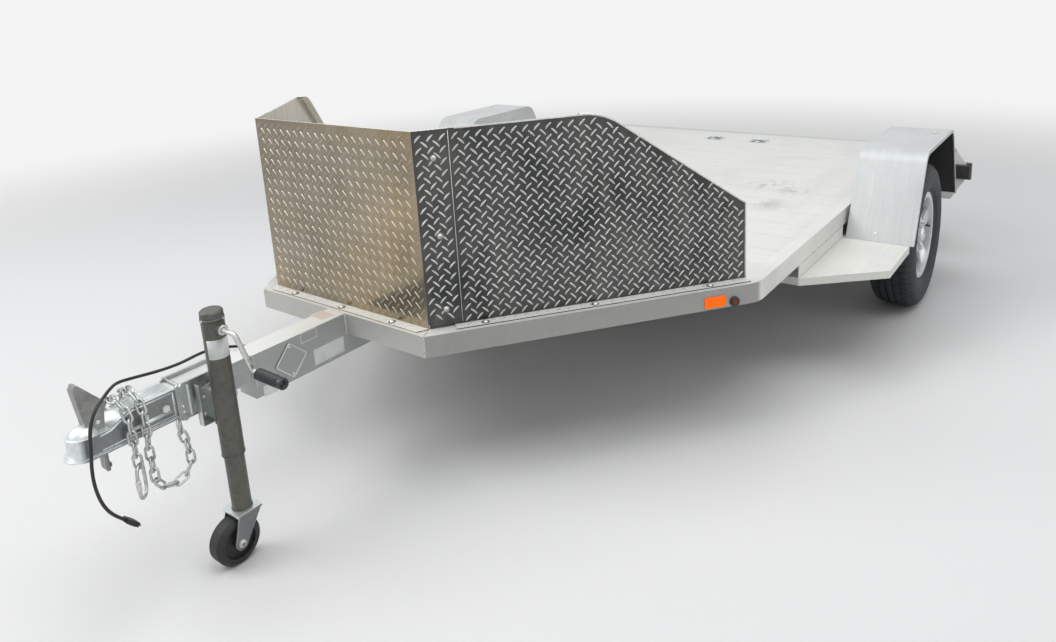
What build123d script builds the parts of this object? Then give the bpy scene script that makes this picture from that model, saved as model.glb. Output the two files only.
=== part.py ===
from build123d import *
import math
import os

# Open-deck motorcycle trailer in aluminium, for two motorcycles side by side.
# Millimetres. +Z is up, -Y is the towing end, +X is the side that carries the jack.
# The model is laid out from the front rail's front face (y = 0), the centre line
# (x = 0) and the ground (z = 0). export_part() then centres it along Y.

# ---- deck -------------------------------------------------------------------
deck_height = 500.0          # top of the deck above the ground
deck_length = 3048.0
deck_half_width = 1006.0
front_half_width = 367.0     # half the short front rail
bow_length = 815.0           # how far back the deck reaches its full width
bow_bend_radius = 100.0      # bend in the side rail where the bow ends
rail_height = 64.0
rail_width = 50.0
rail_wall = 4.0
plank_depth = 28.0
plank_skin = 4.0
plank_pitch = 152.0
plank_gap = 1.5
plank_web = 4.0
plank_web_count = 3
stringer_x = 480.0
stringer_width = 40.0
stringer_wall = 4.0

# ---- rock guard -------------------------------------------------------------
guard_sheet = 3.2
guard_height = 567.0
guard_setback = 42.0         # outer face of the guard behind the rails' outer faces
guard_side_length = 992.0
guard_rear_height = 245.0
guard_level_length = 540.0   # where the side panel's level top would meet its slope
guard_top_radius = 190.0
guard_foot = 32.0            # width of the foot flanges on the rails
guard_return = 26.0          # inward return along the sloping and rear edges
guard_lap = 100.0            # front panel's wings that lap over the side panels
guard_gap = 0.4

# ---- tongue -----------------------------------------------------------------
beam_width = 76.0
beam_height = 127.0
beam_wall = 5.0
beam_front = -325.0
beam_tail = 119.0            # behind the step tube's front face
beam_taper = 281.0
cap_thickness = 6.0
tube_width = 64.0
tube_height = 76.0
tube_wall = 4.0
tube_front = -651.0

# ---- coupler ----------------------------------------------------------------
ball_radius = 25.4
ball_clearance = 0.8
ball_y = -752.0
coupler_wall = 4.0
coupler_rear = -545.0
coupler_side_clearance = 1.0
dome_radius = 37.0
nose_setback = 30.0          # the nose is solid up to here behind the ball's middle
coupler_drop = 72.0          # its bottom edge below the deck's level
lip_width = 9.0
lip_thickness = 4.0
lever_width = 28.0
lever_sheet = 3.0
lever_rise = 103.0           # tip of the raised lever above the deck's level
latch_rod_radius = 5.0
latch_rod_y = -711.0
latch_rod_drop = 67.0        # its tip below the coupler's bottom edge
latch_nut_radius = 9.0
latch_nut_height = 9.0
latch_finger_width = 26.0
latch_finger_height = 60.0
coupler_shoulder_drop = 26.0
coupler_rise_start = 110.0   # from the coupler's rear edge
coupler_rise_end = 160.0
coupler_bolt_radius = 6.0
coupler_bolt_setbacks = (28.0, 82.0)
coupler_bolt_rise = 6.0      # above the middle of the tube
bolt_clearance = 0.3
bolt_head_height = 8.0
bolt_head_ratio = 1.7        # head's corner radius over the shank's radius
lever_foot = 40.0
lever_front_lean = 13.0
lever_tip = 14.0
lever_heel = 9.0
lever_heel_drop = 62.0

# ---- wheels and axle --------------------------------------------------------
axle_setback = 933.0         # ahead of the deck's rear edge
tyre_radius = 305.0
tyre_width = 178.0
rim_radius = 165.0
rim_flange_radius = 182.0
rim_width = 127.0
rim_wall = 6.0
rim_face_inset = 22.0        # middle of the wheel's centre behind the rim's outer edge
rim_centre_radius = 72.0
rim_centre_thickness = 16.0
rim_bore_radius = 38.0
spoke_count = 5
spoke_root_width = 46.0
spoke_tip_width = 74.0
spoke_tip_thickness = 11.0
spoke_tip_offset = 7.0       # how far a spoke leans outwards on its way to the rim
wheel_track_inset = 144.0    # middle of the tyre outside the deck
tyre_crown_radius = 30.0
tyre_crown_drop = 5.0
tyre_shoulder_step = 5.0
tyre_wall_steps = 4          # straight bands in each side wall
tyre_seat_gap = 0.3
spindle_radius = 14.0
spindle_reach = 18.0         # spindle's tip beyond the middle of the tyre
running_clearance = 0.05
hub_flange_radius = 68.0
hub_flange_thickness = 10.0
hub_barrel_radius = 34.0
hub_barrel_length = 70.0
cap_radius = 31.0
cap_length = 36.0
cap_chamfer = 6.0
cap_wall = 6.0
stud_count = 5
stud_circle = 57.0
stud_radius = 6.0
stud_tip = 3.0
nut_radius = 10.5
nut_length = 14.0
axle_tube_size = 64.0
axle_tube_wall = 5.0
arm_length = 140.0
arm_drop = 40.0
arm_thickness = 22.0
arm_boss_radius = 31.0
arm_spindle_boss_radius = 26.0
arm_inset = 6.0              # arms start this far inside the deck's edge
hanger_length = 200.0
hanger_width = 44.0
hanger_wall = 8.0

# ---- fenders, steps and lamps -----------------------------------------------
fender_gap = 12.0            # between the side rail and the fender
fender_width = 247.0
fender_spacer_radius = 12.0
fender_spacer_reach = 300.0  # spacers ahead of and behind the axle
fender_height = 329.0
fender_top_half = 265.0      # half the top's length between its sharp corners
fender_slope = 165.0         # how far each end leans outwards on its way down
fender_bend = 75.0
fender_sheet = 3.0
fender_lip = 14.0
step_drop = 112.0            # top of the step below the deck
step_thickness = 28.0
step_inner_lead = 934.0      # the step's front corners and rear edge ahead of the axle
step_outer_lead = 719.0
step_rear_lead = 425.0
step_width = 244.0
step_wall = 4.0
step_rib_count = 3
step_upright = 4.0
cross_tube_width = 50.0
cross_tube_wall = 4.0

# ---- jack -------------------------------------------------------------------
jack_x = 100.0
jack_y = -450.0
jack_tube_radius = 28.5
jack_tube_wall = 3.0
jack_tube_drop = 201.0       # its open end below the deck's level
jack_tube_rise = 178.0
jack_cap_height = 18.0
jack_cap_chamfer = 4.0
leg_radius = 25.0
leg_wall = 3.0
leg_bottom = 143.0
leg_overlap = 181.0          # of the leg inside the outer tube
pivot_drop = 65.0
pivot_radius = 12.0
swivel_plate_radius = 48.0
mount_length = 158.0
plate_thickness = 6.0
swivel_gap = 0.5
mount_gap = 4.0              # from the coupler's rear edge
mount_overhang = 11.0        # plates above and below the tube
mount_corner = 10.0
mount_bolt_radius = 4.0
mount_bolt_inset = 14.0
mount_bolt_head = 6.0
index_circle = 36.0
index_angle = 22.0
index_hole_radius = 4.5
pull_pin_radius = 6.5
pull_pin_length = 28.0
pull_knob_radius = 8.5
pull_knob_length = 6.0
saddle_width = 40.0
saddle_height = 84.0
crank_rise = 150.0
crank_rod_radius = 6.5
crank_clearance = 0.3
crank_boss_radius = 14.0
crank_boss_length = 13.0
crank_bend = 14.0
crank_reach = 62.0           # from the tube's wall out to the crank arm
crank_arm = 120.0
crank_lean = 17.0            # degrees the hanging arm leans rearwards
grip_radius = 15.0
grip_length = 105.0
grip_shoulder = 18.0         # from the crank arm to the grip
crank_tip = 4.0
caster_wheel_radius = 64.0
caster_wheel_width = 48.0
caster_tread_chamfer = 8.0
caster_rim_inner = 45.0
caster_web = 28.0
caster_hub_radius = 17.0
caster_trail = 34.0
caster_plate = 74.0
caster_plate_thickness = 6.0
kingpin_radius = 8.0
kingpin_nut = 4.0            # its height, and how far it stands out round the pin
caster_corner = 6.0
caster_head_depth = 2.0
caster_head_inset = 5.0
fork_sheet = 5.0
fork_gap = 5.0
caster_axle_radius = 6.0
caster_gap = 0.5
caster_boss_radius = 17.0

# ---- chain, lamps and wiring ------------------------------------------------
chain_wire = 6.8
link_length = 45.0
link_width = 25.4
chain_slack = 0.8            # play between neighbouring links
chain_x = 56.4               # strands hang this far from the centre line, clear of the lip
chain_start_drop = 75.5      # strands start this far below the coupler's top
front_chain_y = -676.0
rear_chain_y = -634.0
hook_wire = 9.0
hook_length = 95.0
hook_width = 50.0
cord_diameter = 8.0
plug_width = 28.0
plug_thickness = 11.0
plug_length = 34.0
bracket_setback = 268.0      # ahead of the deck's rear edge
bracket_sheet = 5.0
bracket_rise = 57.0
bracket_drop = 208.0
bracket_width = 260.0        # from the side rail to the plate's tip
bracket_slant = 60.0
bracket_flange = 40.0
lamp_length = 183.0
lamp_height = 68.0
lamp_depth = 50.0
lamp_ahead = 15.0            # how far the lamp stands ahead of the bracket
lamp_overhang = 17.0
lamp_drop = 67.0
lens_margin = 5.0
lens_depth = 8.0
reflector_along = 885.0
reflector_drop = 40.0
reflector_length = 70.0
reflector_height = 33.0
reflector_thickness = 4.0
marker_along = 950.0
marker_drop = 48.0
marker_radius = 11.0
marker_depth = 9.0

seat_gap = 0.3               # between pieces that rest on each other
rail_bottom = deck_height - rail_height
plank_bottom = deck_height - plank_depth
step_top = deck_height - step_drop
coupler_bottom = deck_height - coupler_drop
latch_rod_bottom = coupler_bottom - latch_rod_drop
pivot_z = deck_height - pivot_drop
jack_tube_bottom = deck_height - jack_tube_drop
jack_tube_top = deck_height + jack_tube_rise
leg_top = jack_tube_bottom + leg_overlap
crank_z = deck_height + crank_rise
bracket_y = deck_length - bracket_setback
bracket_top = deck_height + bracket_rise
bracket_bottom = deck_height - bracket_drop
lamp_z = deck_height - lamp_drop
reflector_z = deck_height - reflector_drop
marker_z = deck_height - marker_drop
axle_y = deck_length - axle_setback
step_inner_front = axle_y - step_inner_lead
step_outer_front = axle_y - step_outer_lead
step_rear = axle_y - step_rear_lead
beam_rear = step_inner_front + beam_tail
beam_taper_start = step_inner_front - beam_taper
wheel_x = deck_half_width + wheel_track_inset
axle_half_length = deck_half_width - arm_inset
fender_inner = deck_half_width + fender_gap
fender_outer = fender_inner + fender_width
fender_base = step_top + seat_gap
step_outer = deck_half_width + step_width
coupler_top = deck_height + coupler_side_clearance + coupler_wall
coupler_shoulder = coupler_top - coupler_shoulder_drop
dome_z = coupler_bottom + dome_radius - 2
chain_pitch = link_length - 2 * chain_wire - chain_slack
rim_face_x = rim_width / 2 - rim_face_inset
rim_face_back = rim_face_x - rim_centre_thickness / 2
nose_y = ball_y - dome_radius - lip_width
mid_y = (nose_y + deck_length) / 2


def tube_box(x_size, y_size, z_size, wall, open_axis):
    """Square tube centred on the origin, open at both ends of one axis."""
    inner = [x_size - 2 * wall, y_size - 2 * wall, z_size - 2 * wall]
    outer = [x_size, y_size, z_size]
    inner[open_axis] = outer[open_axis] + 2
    return Box(*outer) - Box(*inner)


def deck_outline(inset):
    """Plan outline of the bow-fronted deck, moved in from its edge by inset."""
    points = [
        (-front_half_width, 0),
        (front_half_width, 0),
        (deck_half_width, bow_length),
        (deck_half_width, deck_length),
        (-deck_half_width, deck_length),
        (-deck_half_width, bow_length),
    ]
    face = make_face(Polyline(*points, close=True))
    bends = [v for v in face.vertices() if abs(v.Y - bow_length) < 1]
    face = fillet(bends, bow_bend_radius)
    if inset:
        face = offset(face, amount=-inset, kind=Kind.INTERSECTION)
    return face


def slab(face, z_low, z_high):
    """Prism of a plan outline between two heights."""
    return extrude(Pos(0, 0, z_low) * face, z_high - z_low)


def perimeter_tube():
    """The whole rail ring: a hollow rectangular section bent round the deck."""
    ring = slab(deck_outline(0) - deck_outline(rail_width), rail_bottom, deck_height)
    bore_face = deck_outline(rail_wall) - deck_outline(rail_width - rail_wall)
    bore = slab(bore_face, rail_bottom + rail_wall, deck_height - rail_wall)
    return ring - bore


def mitre_wedge():
    """Plan wedge that holds the front rail between its two mitred corners."""
    half = bow_angle() / 2
    depth = 2 * rail_width
    inner = front_half_width - depth * math.tan(half)
    corners = [(-front_half_width, 0), (front_half_width, 0), (inner, depth), (-inner, depth)]
    return make_face(Polyline(*corners, close=True))


def rails():
    """Front rail, two bent side rails and rear rail, cut from the one ring."""
    ring = perimeter_tube()
    front = slab(mitre_wedge(), rail_bottom, deck_height)
    rear_span = 2 * (deck_half_width - rail_width)
    rear = Pos(0, deck_length - rail_width / 2, deck_height - rail_height / 2) * Box(
        rear_span, rail_width, rail_height
    )
    rest = ring - front - rear
    half = Pos(deck_half_width, deck_length / 2, deck_height / 2) * Box(
        2 * deck_half_width, deck_length + 2, deck_height + 2
    )
    rear_tube = Pos(0, deck_length - rail_width / 2, deck_height - rail_height / 2) * tube_box(
        rear_span, rail_width, rail_height, rail_wall, 0
    )
    return {
        "front_rail": ring & front,
        "side_rail_left": rest & half,
        "side_rail_right": rest - half,
        "rear_rail": rear_tube,
    }


def plank_section():
    """Extruded plank seen from its end: a skin on square webs, centred on y = 0."""
    width = plank_pitch - plank_gap
    skin = Pos(0, 0, deck_height - plank_skin / 2) * Box(2 * deck_half_width, width, plank_skin)
    span = width - plank_web
    for index in range(plank_web_count):
        y = -span / 2 + span * index / (plank_web_count - 1)
        web = Box(2 * deck_half_width, plank_web, plank_depth - plank_skin)
        skin += Pos(0, y, plank_bottom + (plank_depth - plank_skin) / 2) * web
    return skin


def deck_planks():
    """Crosswise planks trimmed to the space inside the rails."""
    inside = slab(deck_outline(rail_width), plank_bottom, deck_height)
    count = math.ceil((deck_length - 2 * rail_width) / plank_pitch)
    plank = plank_section()
    planks = []
    for index in range(count):
        y = rail_width + plank_pitch * (index + 0.5)
        planks += (Pos(0, y, 0) * plank & inside).solids()
    return planks


def stringers():
    """Lengthwise channels under the planks, one each side."""
    inside = slab(deck_outline(rail_width), rail_bottom, plank_bottom)
    height = plank_bottom - rail_bottom
    made = []
    for side in (-1, 1):
        channel = tube_box(stringer_width, deck_length, height, stringer_wall, 1)
        channel = Pos(side * stringer_x, deck_length / 2, rail_bottom + height / 2) * channel
        made += (channel & inside).solids()
    return made


def beam_outline(inset):
    """Side view of the tongue beam: notched under the front rail, tapered at the rear."""
    top = deck_height - inset
    low = deck_height - beam_height + inset
    notch_low = rail_bottom - inset
    under = plank_bottom - inset
    taper_low = step_top + inset
    points = [
        (beam_front, low),
        (beam_taper_start, low),
        (step_inner_front, taper_low),
        (beam_rear, taper_low),
        (beam_rear, under),
        (rail_width + inset, under),
        (rail_width + inset, notch_low),
        (-inset, notch_low),
        (-inset, top),
        (beam_front, top),
    ]
    return make_face(Plane.YZ * Polyline(*points, close=True))


def tongue_beam():
    """Deep box beam of the tongue with its front end capped."""
    outer = extrude(beam_outline(0), beam_width / 2, both=True)
    bore = extrude(beam_outline(beam_wall), beam_width / 2 - beam_wall, both=True)
    cap = Pos(0, beam_front + cap_thickness / 2, deck_height - beam_height / 2) * Box(
        beam_width, cap_thickness, beam_height
    )
    return outer - bore + cap


def tongue_tube():
    """Lighter box tube from the beam's cap to the coupler, drilled for its bolts."""
    length = beam_front - tube_front
    tube = tube_box(tube_width, length, tube_height, tube_wall, 1)
    tube = Pos(0, tube_front + length / 2, deck_height - tube_height / 2) * tube
    for drill in coupler_bolt_places():
        tube -= drill * bolt_hole()
    return tube


def coupler_bolt_places():
    """Where the two bolts cross the coupler and the tube."""
    z = deck_height - tube_height / 2 + coupler_bolt_rise
    return [Pos(0, coupler_rear - setback, z) for setback in coupler_bolt_setbacks]


def bolt_hole():
    return Rot(0, 90, 0) * Cylinder(coupler_bolt_radius + bolt_clearance, 3 * tube_width)


def coupler_half_width():
    return tube_width / 2 + coupler_side_clearance + coupler_wall


def coupler_plan(grow):
    """Plan outline of the coupler: straight sides with a round nose."""
    half = coupler_half_width() + grow
    straight = coupler_rear - ball_y
    body = Pos(0, ball_y + straight / 2) * Rectangle(2 * half, straight)
    return body + Pos(0, ball_y) * Circle(half)


def coupler_side(drop):
    """Side outline: level over the tube, then falling to the dome."""
    top = coupler_top - drop
    shoulder = coupler_shoulder - drop
    points = [
        (coupler_rear, coupler_bottom - 1),
        (coupler_rear, top),
        (coupler_rear - coupler_rise_start, top),
        (coupler_rear - coupler_rise_end, shoulder),
        (ball_y - 2 * dome_radius, shoulder),
        (ball_y - 2 * dome_radius, coupler_bottom - 1),
    ]
    return make_face(Plane.YZ * Polyline(*points, close=True))


def coupler_body():
    """Pressed coupler: open channel, ball dome and turned-out lip."""
    top = coupler_top + dome_radius
    width = 4 * dome_radius
    outer = slab(coupler_plan(0), coupler_bottom, top) & extrude(coupler_side(0), width, both=True)
    outer += Pos(0, ball_y, dome_z) * Sphere(dome_radius)
    lip = slab(coupler_plan(lip_width), coupler_bottom, coupler_bottom + lip_thickness)
    below = slab(coupler_plan(width), coupler_bottom - 2 * dome_radius, coupler_bottom)
    inner = slab(coupler_plan(-coupler_wall), coupler_bottom - 1, top)
    inner &= extrude(coupler_side(coupler_wall), width, both=True)
    socket = Pos(0, ball_y, dome_z) * Sphere(ball_radius + ball_clearance)
    throat = Pos(0, ball_y, coupler_bottom) * Cylinder(
        ball_radius + ball_clearance, 2 * (dome_z - coupler_bottom)
    )
    solid_nose = Pos(0, ball_y + nose_setback - width / 2, coupler_bottom) * Box(width, width, width)
    body = outer + lip - below - (inner - solid_nose) - socket - throat
    for drill in coupler_bolt_places():
        body -= drill * bolt_hole()
    latch_bore = Cylinder(latch_rod_radius + 2 * bolt_clearance, 4 * coupler_wall)
    return body - Pos(0, latch_rod_y, coupler_shoulder) * latch_bore


def coupler_bolts():
    """Two through bolts with heads and nuts."""
    half = coupler_half_width()
    made = []
    for place in coupler_bolt_places():
        shank = Rot(0, 90, 0) * Cylinder(coupler_bolt_radius, 2 * (half + bolt_head_height))
        bolt = place * shank
        for side in (-1, 1):
            head = extrude(RegularPolygon(bolt_head_ratio * coupler_bolt_radius, 6), bolt_head_height)
            turned = Rot(0, 90 * side, 0) * head
            bolt += place * Pos(side * half, 0, 0) * turned
        made.append(bolt)
    return made


def coupler_lever():
    """Pressed latch lever, standing open on the shoulder behind the dome, with its rod."""
    base = coupler_shoulder + seat_gap
    tip = deck_height + lever_rise
    rear = ball_y + dome_radius + lever_heel
    front = rear - lever_foot - lever_front_lean
    points = [
        (rear - lever_foot, base),
        (front, tip - lever_front_lean),
        (front + lever_tip / 2, tip),
        (front + lever_tip, tip - lever_sheet),
        (rear + lever_heel, tip - lever_heel_drop),
        (rear, base),
    ]
    face = make_face(Polyline(*points, close=True))
    hollow = Pos(2 * lever_sheet, 0, 0) * offset(face, amount=-lever_sheet, kind=Kind.INTERSECTION)
    lever = extrude(Plane.YZ * face, lever_width / 2, both=True)
    lever -= extrude(Plane.YZ * hollow, lever_width / 2 - lever_sheet, both=True)
    lever -= Pos(0, ball_y, dome_z) * Sphere(dome_radius + seat_gap)
    return lever + latch_rod(base)


def latch_rod(top):
    """Rod from the lever down through the coupler, with its nut and the finger that holds the ball."""
    length = top + lever_sheet / 2 - latch_rod_bottom
    rod = Pos(0, latch_rod_y, latch_rod_bottom + length / 2) * Cylinder(latch_rod_radius, length)
    nut_z = latch_rod_bottom + latch_nut_height
    nut = extrude(Pos(0, latch_rod_y, nut_z) * RegularPolygon(latch_nut_radius, 6), latch_nut_height)
    finger_y = latch_rod_y - latch_rod_radius - lever_sheet / 2
    finger = Pos(0, finger_y, nut_z + latch_finger_height / 2) * Box(
        latch_finger_width, 2 * lever_sheet, latch_finger_height
    )
    finger = fillet(finger.edges().filter_by(Axis.Y), lever_sheet)
    return rod + nut + finger


def tyre_half():
    """Outline of the tyre from its middle to its +X side, in straight bands."""
    half = tyre_width / 2
    seat = rim_width / 2 - tyre_seat_gap
    bead = rim_radius + tyre_seat_gap
    clear = rim_flange_radius + 1
    edge = half - tyre_shoulder_step
    low = tyre_radius - tyre_crown_radius
    wall = ThreePointArc((seat, clear), (half, (tyre_radius + rim_radius) / 2), (edge, low))
    bands = [wall @ (step / tyre_wall_steps) for step in range(tyre_wall_steps + 1)]
    shoulder = (half - tyre_crown_radius, tyre_radius - tyre_crown_drop)
    return Polyline((0, bead), (seat, bead), *bands, shoulder, (0, tyre_radius), close=True)


def tyre():
    """Radial tyre turned from its section."""
    right = make_face(tyre_half())
    section = right + mirror(right, Plane.YZ)
    return revolve(Plane.XZ * section, Axis.X)


def rim():
    """Cast wheel: barrel with two flanges, spoked centre and its bores."""
    turned = Rot(0, 90, 0)
    inner_radius = rim_radius - rim_wall
    wheel = turned * (Cylinder(rim_radius, rim_width) - Cylinder(inner_radius, rim_width + 2))
    flange = turned * (Cylinder(rim_flange_radius, rim_wall) - Cylinder(inner_radius, 2 * rim_wall))
    for side in (-1, 1):
        wheel += Pos(side * (rim_width + rim_wall) / 2, 0, 0) * flange
    wheel += Pos(rim_face_x, 0, 0) * turned * Cylinder(rim_centre_radius, rim_centre_thickness)
    for index in range(spoke_count):
        wheel += Rot(360 / spoke_count * index, 0, 0) * spoke()
    wheel -= Pos(rim_face_x, 0, 0) * turned * Cylinder(rim_bore_radius, 2 * rim_centre_thickness)
    for place in stud_places():
        wheel -= place * Cylinder(stud_radius + bolt_clearance, 2 * rim_centre_thickness)
    return wheel


def spoke():
    """Broad spoke that widens, thins and leans outwards towards the rim."""
    root = Pos(rim_face_x, 0, rim_centre_radius - rim_centre_thickness / 2) * Rectangle(
        rim_centre_thickness, spoke_root_width
    )
    tip = Pos(rim_face_x + spoke_tip_offset, 0, rim_radius - rim_wall / 2) * Rectangle(
        spoke_tip_thickness, spoke_tip_width
    )
    inside = Rot(0, 90, 0) * Cylinder(rim_radius - rim_wall / 2, 2 * rim_width)
    return loft([root, tip]) & inside


def stud_places():
    """Wheel studs: on the wheel's centre, pointing outwards, halfway between the spokes."""
    turn = 360 / stud_count
    places = []
    for index in range(stud_count):
        around = Rot(turn * (index + 0.5), 0, 0)
        places.append(Pos(rim_face_x, 0, 0) * around * Pos(0, 0, stud_circle) * Rot(0, 90, 0))
    return places


def hub():
    """Hub turned from its section: barrel, flange behind the rim and grease cap; studs and nuts."""
    back = rim_face_back - hub_barrel_length
    flange_back = rim_face_back - hub_flange_thickness
    cap_tip = rim_face_back + cap_length
    bore_radius = spindle_radius + running_clearance
    section = Polyline(
        (back, bore_radius),
        (back, hub_barrel_radius),
        (flange_back, hub_barrel_radius),
        (flange_back, hub_flange_radius),
        (rim_face_back, hub_flange_radius),
        (rim_face_back, cap_radius),
        (cap_tip - cap_chamfer, cap_radius),
        (cap_tip, cap_radius - cap_chamfer),
        (cap_tip, 0),
        (cap_tip - cap_wall, 0),
        (cap_tip - cap_wall, bore_radius),
        close=True,
    )
    body = revolve(Plane.XZ * make_face(section), Axis.X)
    stud_length = rim_centre_thickness + nut_length + stud_tip
    nut_start = rim_centre_thickness / 2 + seat_gap
    for place in stud_places():
        shank = Pos(0, 0, (stud_length - rim_centre_thickness) / 2) * Cylinder(stud_radius, stud_length)
        nut = extrude(Pos(0, 0, nut_start) * RegularPolygon(nut_radius, 6), nut_length)
        body += place * (shank + nut)
    return body


def place_wheel(shape, side):
    """Moves a wheel piece, drawn facing +X, to one side of the trailer."""
    turned = shape if side > 0 else Rot(0, 0, 180) * shape
    return Pos(side * wheel_x, axle_y, tyre_radius) * turned


def axle_tube_place():
    return axle_y - arm_length, tyre_radius + arm_drop


def axle_tube():
    """Torsion axle's square beam across the trailer."""
    y, z = axle_tube_place()
    beam = tube_box(2 * axle_half_length, axle_tube_size, axle_tube_size, axle_tube_wall, 0)
    return Pos(0, y, z) * beam


def hanger_outline(inset):
    """Side view of a hanger: wide on the rail, narrow on the axle beam."""
    y, z = axle_tube_place()
    low = z + axle_tube_size / 2
    foot = axle_tube_size / 2 + hanger_wall
    points = [
        (y - foot + inset, low + inset),
        (y + foot - inset, low + inset),
        (y + hanger_length / 2 - inset, rail_bottom - inset),
        (y - hanger_length / 2 + inset, rail_bottom - inset),
    ]
    return make_face(Plane.YZ * Polyline(*points, close=True))


def axle_hangers():
    """Pressed channels that carry the axle beam under the side rails."""
    made = []
    for side in (-1, 1):
        block = extrude(hanger_outline(0), hanger_width / 2, both=True)
        hollow = extrude(hanger_outline(hanger_wall), hanger_width / 2, both=True)
        channel = block - Pos(-side * hanger_wall, 0, 0) * hollow
        made.append(Pos(side * (axle_half_length - hanger_width / 2), 0, 0) * channel)
    return made


def torsion_arm(side):
    """Trailing arm with its spindle."""
    y, z = axle_tube_place()
    outline = make_hull(
        (
            Pos(y, z) * Circle(arm_boss_radius)
            + Pos(axle_y, tyre_radius) * Circle(arm_spindle_boss_radius)
        ).edges()
    )
    inner_x = axle_half_length
    arm = extrude(Plane.YZ * outline, arm_thickness, dir=(1, 0, 0))
    spindle_length = wheel_x + spindle_reach - inner_x - arm_thickness
    spindle = Pos(arm_thickness + spindle_length / 2, axle_y, tyre_radius) * Rot(0, 90, 0) * (
        Cylinder(spindle_radius, spindle_length)
    )
    arm = Pos(inner_x, 0, 0) * (arm + spindle)
    return arm if side > 0 else mirror(arm, Plane.YZ)


def fender_profile(inset):
    """Side view of a fender: level top, leaning ends and large bends."""
    top = fender_base + fender_height - inset
    slope = fender_slope / fender_height
    run = inset * math.sqrt(1 + slope * slope)
    bottom_half = fender_top_half + fender_slope - run
    top_half = bottom_half - slope * (top - fender_base)
    points = [
        (axle_y - bottom_half, fender_base),
        (axle_y - top_half, top),
        (axle_y + top_half, top),
        (axle_y + bottom_half, fender_base),
    ]
    face = make_face(Plane.YZ * Polyline(*points, close=True))
    corners = [v for v in face.vertices() if v.Z > fender_base + 1]
    return fillet(corners, fender_bend - inset)


def fender(side):
    """Box fender: bent top strip, inner wall, turned-down outer lip and spacers to the rail."""
    width = fender_outer - fender_inner
    outboard = (1, 0, 0)
    outer = extrude(fender_profile(0), width, dir=outboard)
    hollow = Pos(fender_sheet, 0, 0) * extrude(fender_profile(fender_sheet), width, dir=outboard)
    box = outer - hollow
    lip = extrude(fender_profile(0), fender_sheet, dir=outboard)
    lip -= extrude(fender_profile(fender_lip), fender_sheet, dir=outboard)
    box += Pos(width - fender_sheet, 0, 0) * lip
    box = Pos(fender_inner, 0, 0) * box
    spacer_length = fender_gap - seat_gap + fender_sheet / 2
    spacer = Rot(0, 90, 0) * Cylinder(fender_spacer_radius, spacer_length)
    spacer_x = deck_half_width + seat_gap + spacer_length / 2
    for reach in (-fender_spacer_reach, fender_spacer_reach):
        box += Pos(spacer_x, axle_y + reach, deck_height - rail_height / 2) * spacer
    return box if side > 0 else mirror(box, Plane.YZ)


def step_outline():
    """Plan of a step: its front edge runs back at a slant."""
    points = [
        (deck_half_width, step_inner_front),
        (step_outer, step_outer_front),
        (step_outer, step_rear),
        (deck_half_width, step_rear),
    ]
    return make_face(Polyline(*points, close=True))


def step(side):
    """Step in front of a fender: ribbed tread, open below, with an upright under the side rail."""
    inner = deck_half_width
    bottom = step_top - step_thickness
    tread = slab(step_outline(), bottom, step_top)
    inset = offset(step_outline(), amount=-step_wall, kind=Kind.INTERSECTION)
    pocket = slab(inset, bottom, step_top - step_wall)
    length = step_rear - step_inner_front
    middle_y = step_inner_front + length / 2
    for index in range(step_rib_count):
        x = inner + step_width * (index + 1) / (step_rib_count + 1)
        pocket -= Pos(x, middle_y, step_top) * Box(step_wall, length, 3 * step_thickness)
    upright = Pos(inner - step_upright / 2, middle_y, (bottom + rail_bottom) / 2) * Box(
        step_upright, length, rail_bottom - bottom
    )
    body = tread - pocket + upright
    return body if side > 0 else mirror(body, Plane.YZ)


def step_cross_tube():
    """Tube under the deck that ties the two steps together."""
    span = 2 * (deck_half_width - step_upright)
    tube = tube_box(span, cross_tube_width, step_thickness, cross_tube_wall, 0)
    y = step_inner_front + cross_tube_width / 2
    return Pos(0, y, step_top - step_thickness / 2) * tube


def bow_angle():
    """Angle in radians between the front rail and a bow rail, seen from above."""
    return math.atan2(bow_length, deck_half_width - front_half_width)


def bow_point(inset, along):
    """Plan point beside the +X bow rail, measured along it from the front corner."""
    angle = bow_angle()
    corner_x = front_half_width - inset * math.tan(angle / 2)
    return corner_x + along * math.cos(angle), inset + along * math.sin(angle)


def mirrored(points):
    """The same plan points on the other side of the centre line, in reverse."""
    return [(-x, y) for x, y in reversed(points)]


def guard_plan(inset, along):
    """Open plan line of the front panel: wing, front, wing."""
    right = [bow_point(inset, 0), bow_point(inset, along)]
    return mirrored(right) + right


def guard_front():
    """Front panel with wings bent round both corners and a foot on the front rail."""
    outer = guard_plan(guard_setback, guard_lap)
    inner = guard_plan(guard_setback + guard_sheet, guard_lap)
    sheet = make_face(Polyline(*outer, *reversed(inner), close=True))
    wing_base = deck_height + 4 * guard_sheet
    body = slab(sheet, wing_base, deck_height + guard_height)
    half = bow_point(guard_setback, 0)[0]
    front_sheet = Pos(0, guard_setback + guard_sheet / 2) * Rectangle(2 * half, guard_sheet)
    body += slab(front_sheet, deck_height, wing_base)
    foot_half = bow_point(guard_setback - guard_foot, 0)[0]
    foot = make_face(
        Polyline(
            (-half, guard_setback),
            (-foot_half + guard_foot, guard_setback - guard_foot),
            (foot_half - guard_foot, guard_setback - guard_foot),
            (half, guard_setback),
            close=True,
        )
    )
    return body + slab(foot, deck_height, deck_height + guard_sheet)


def guard_side_plane():
    """Outer face of the +X side panel: along the bow, up, and outwards."""
    angle = bow_angle()
    x, y = bow_point(guard_side_inset(), 0)
    along = (math.cos(angle), math.sin(angle), 0)
    out = (math.sin(angle), -math.cos(angle), 0)
    return Plane(origin=(x, y, deck_height), x_dir=along, z_dir=out)


def guard_side_inset():
    return guard_setback + guard_sheet + guard_gap


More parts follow.
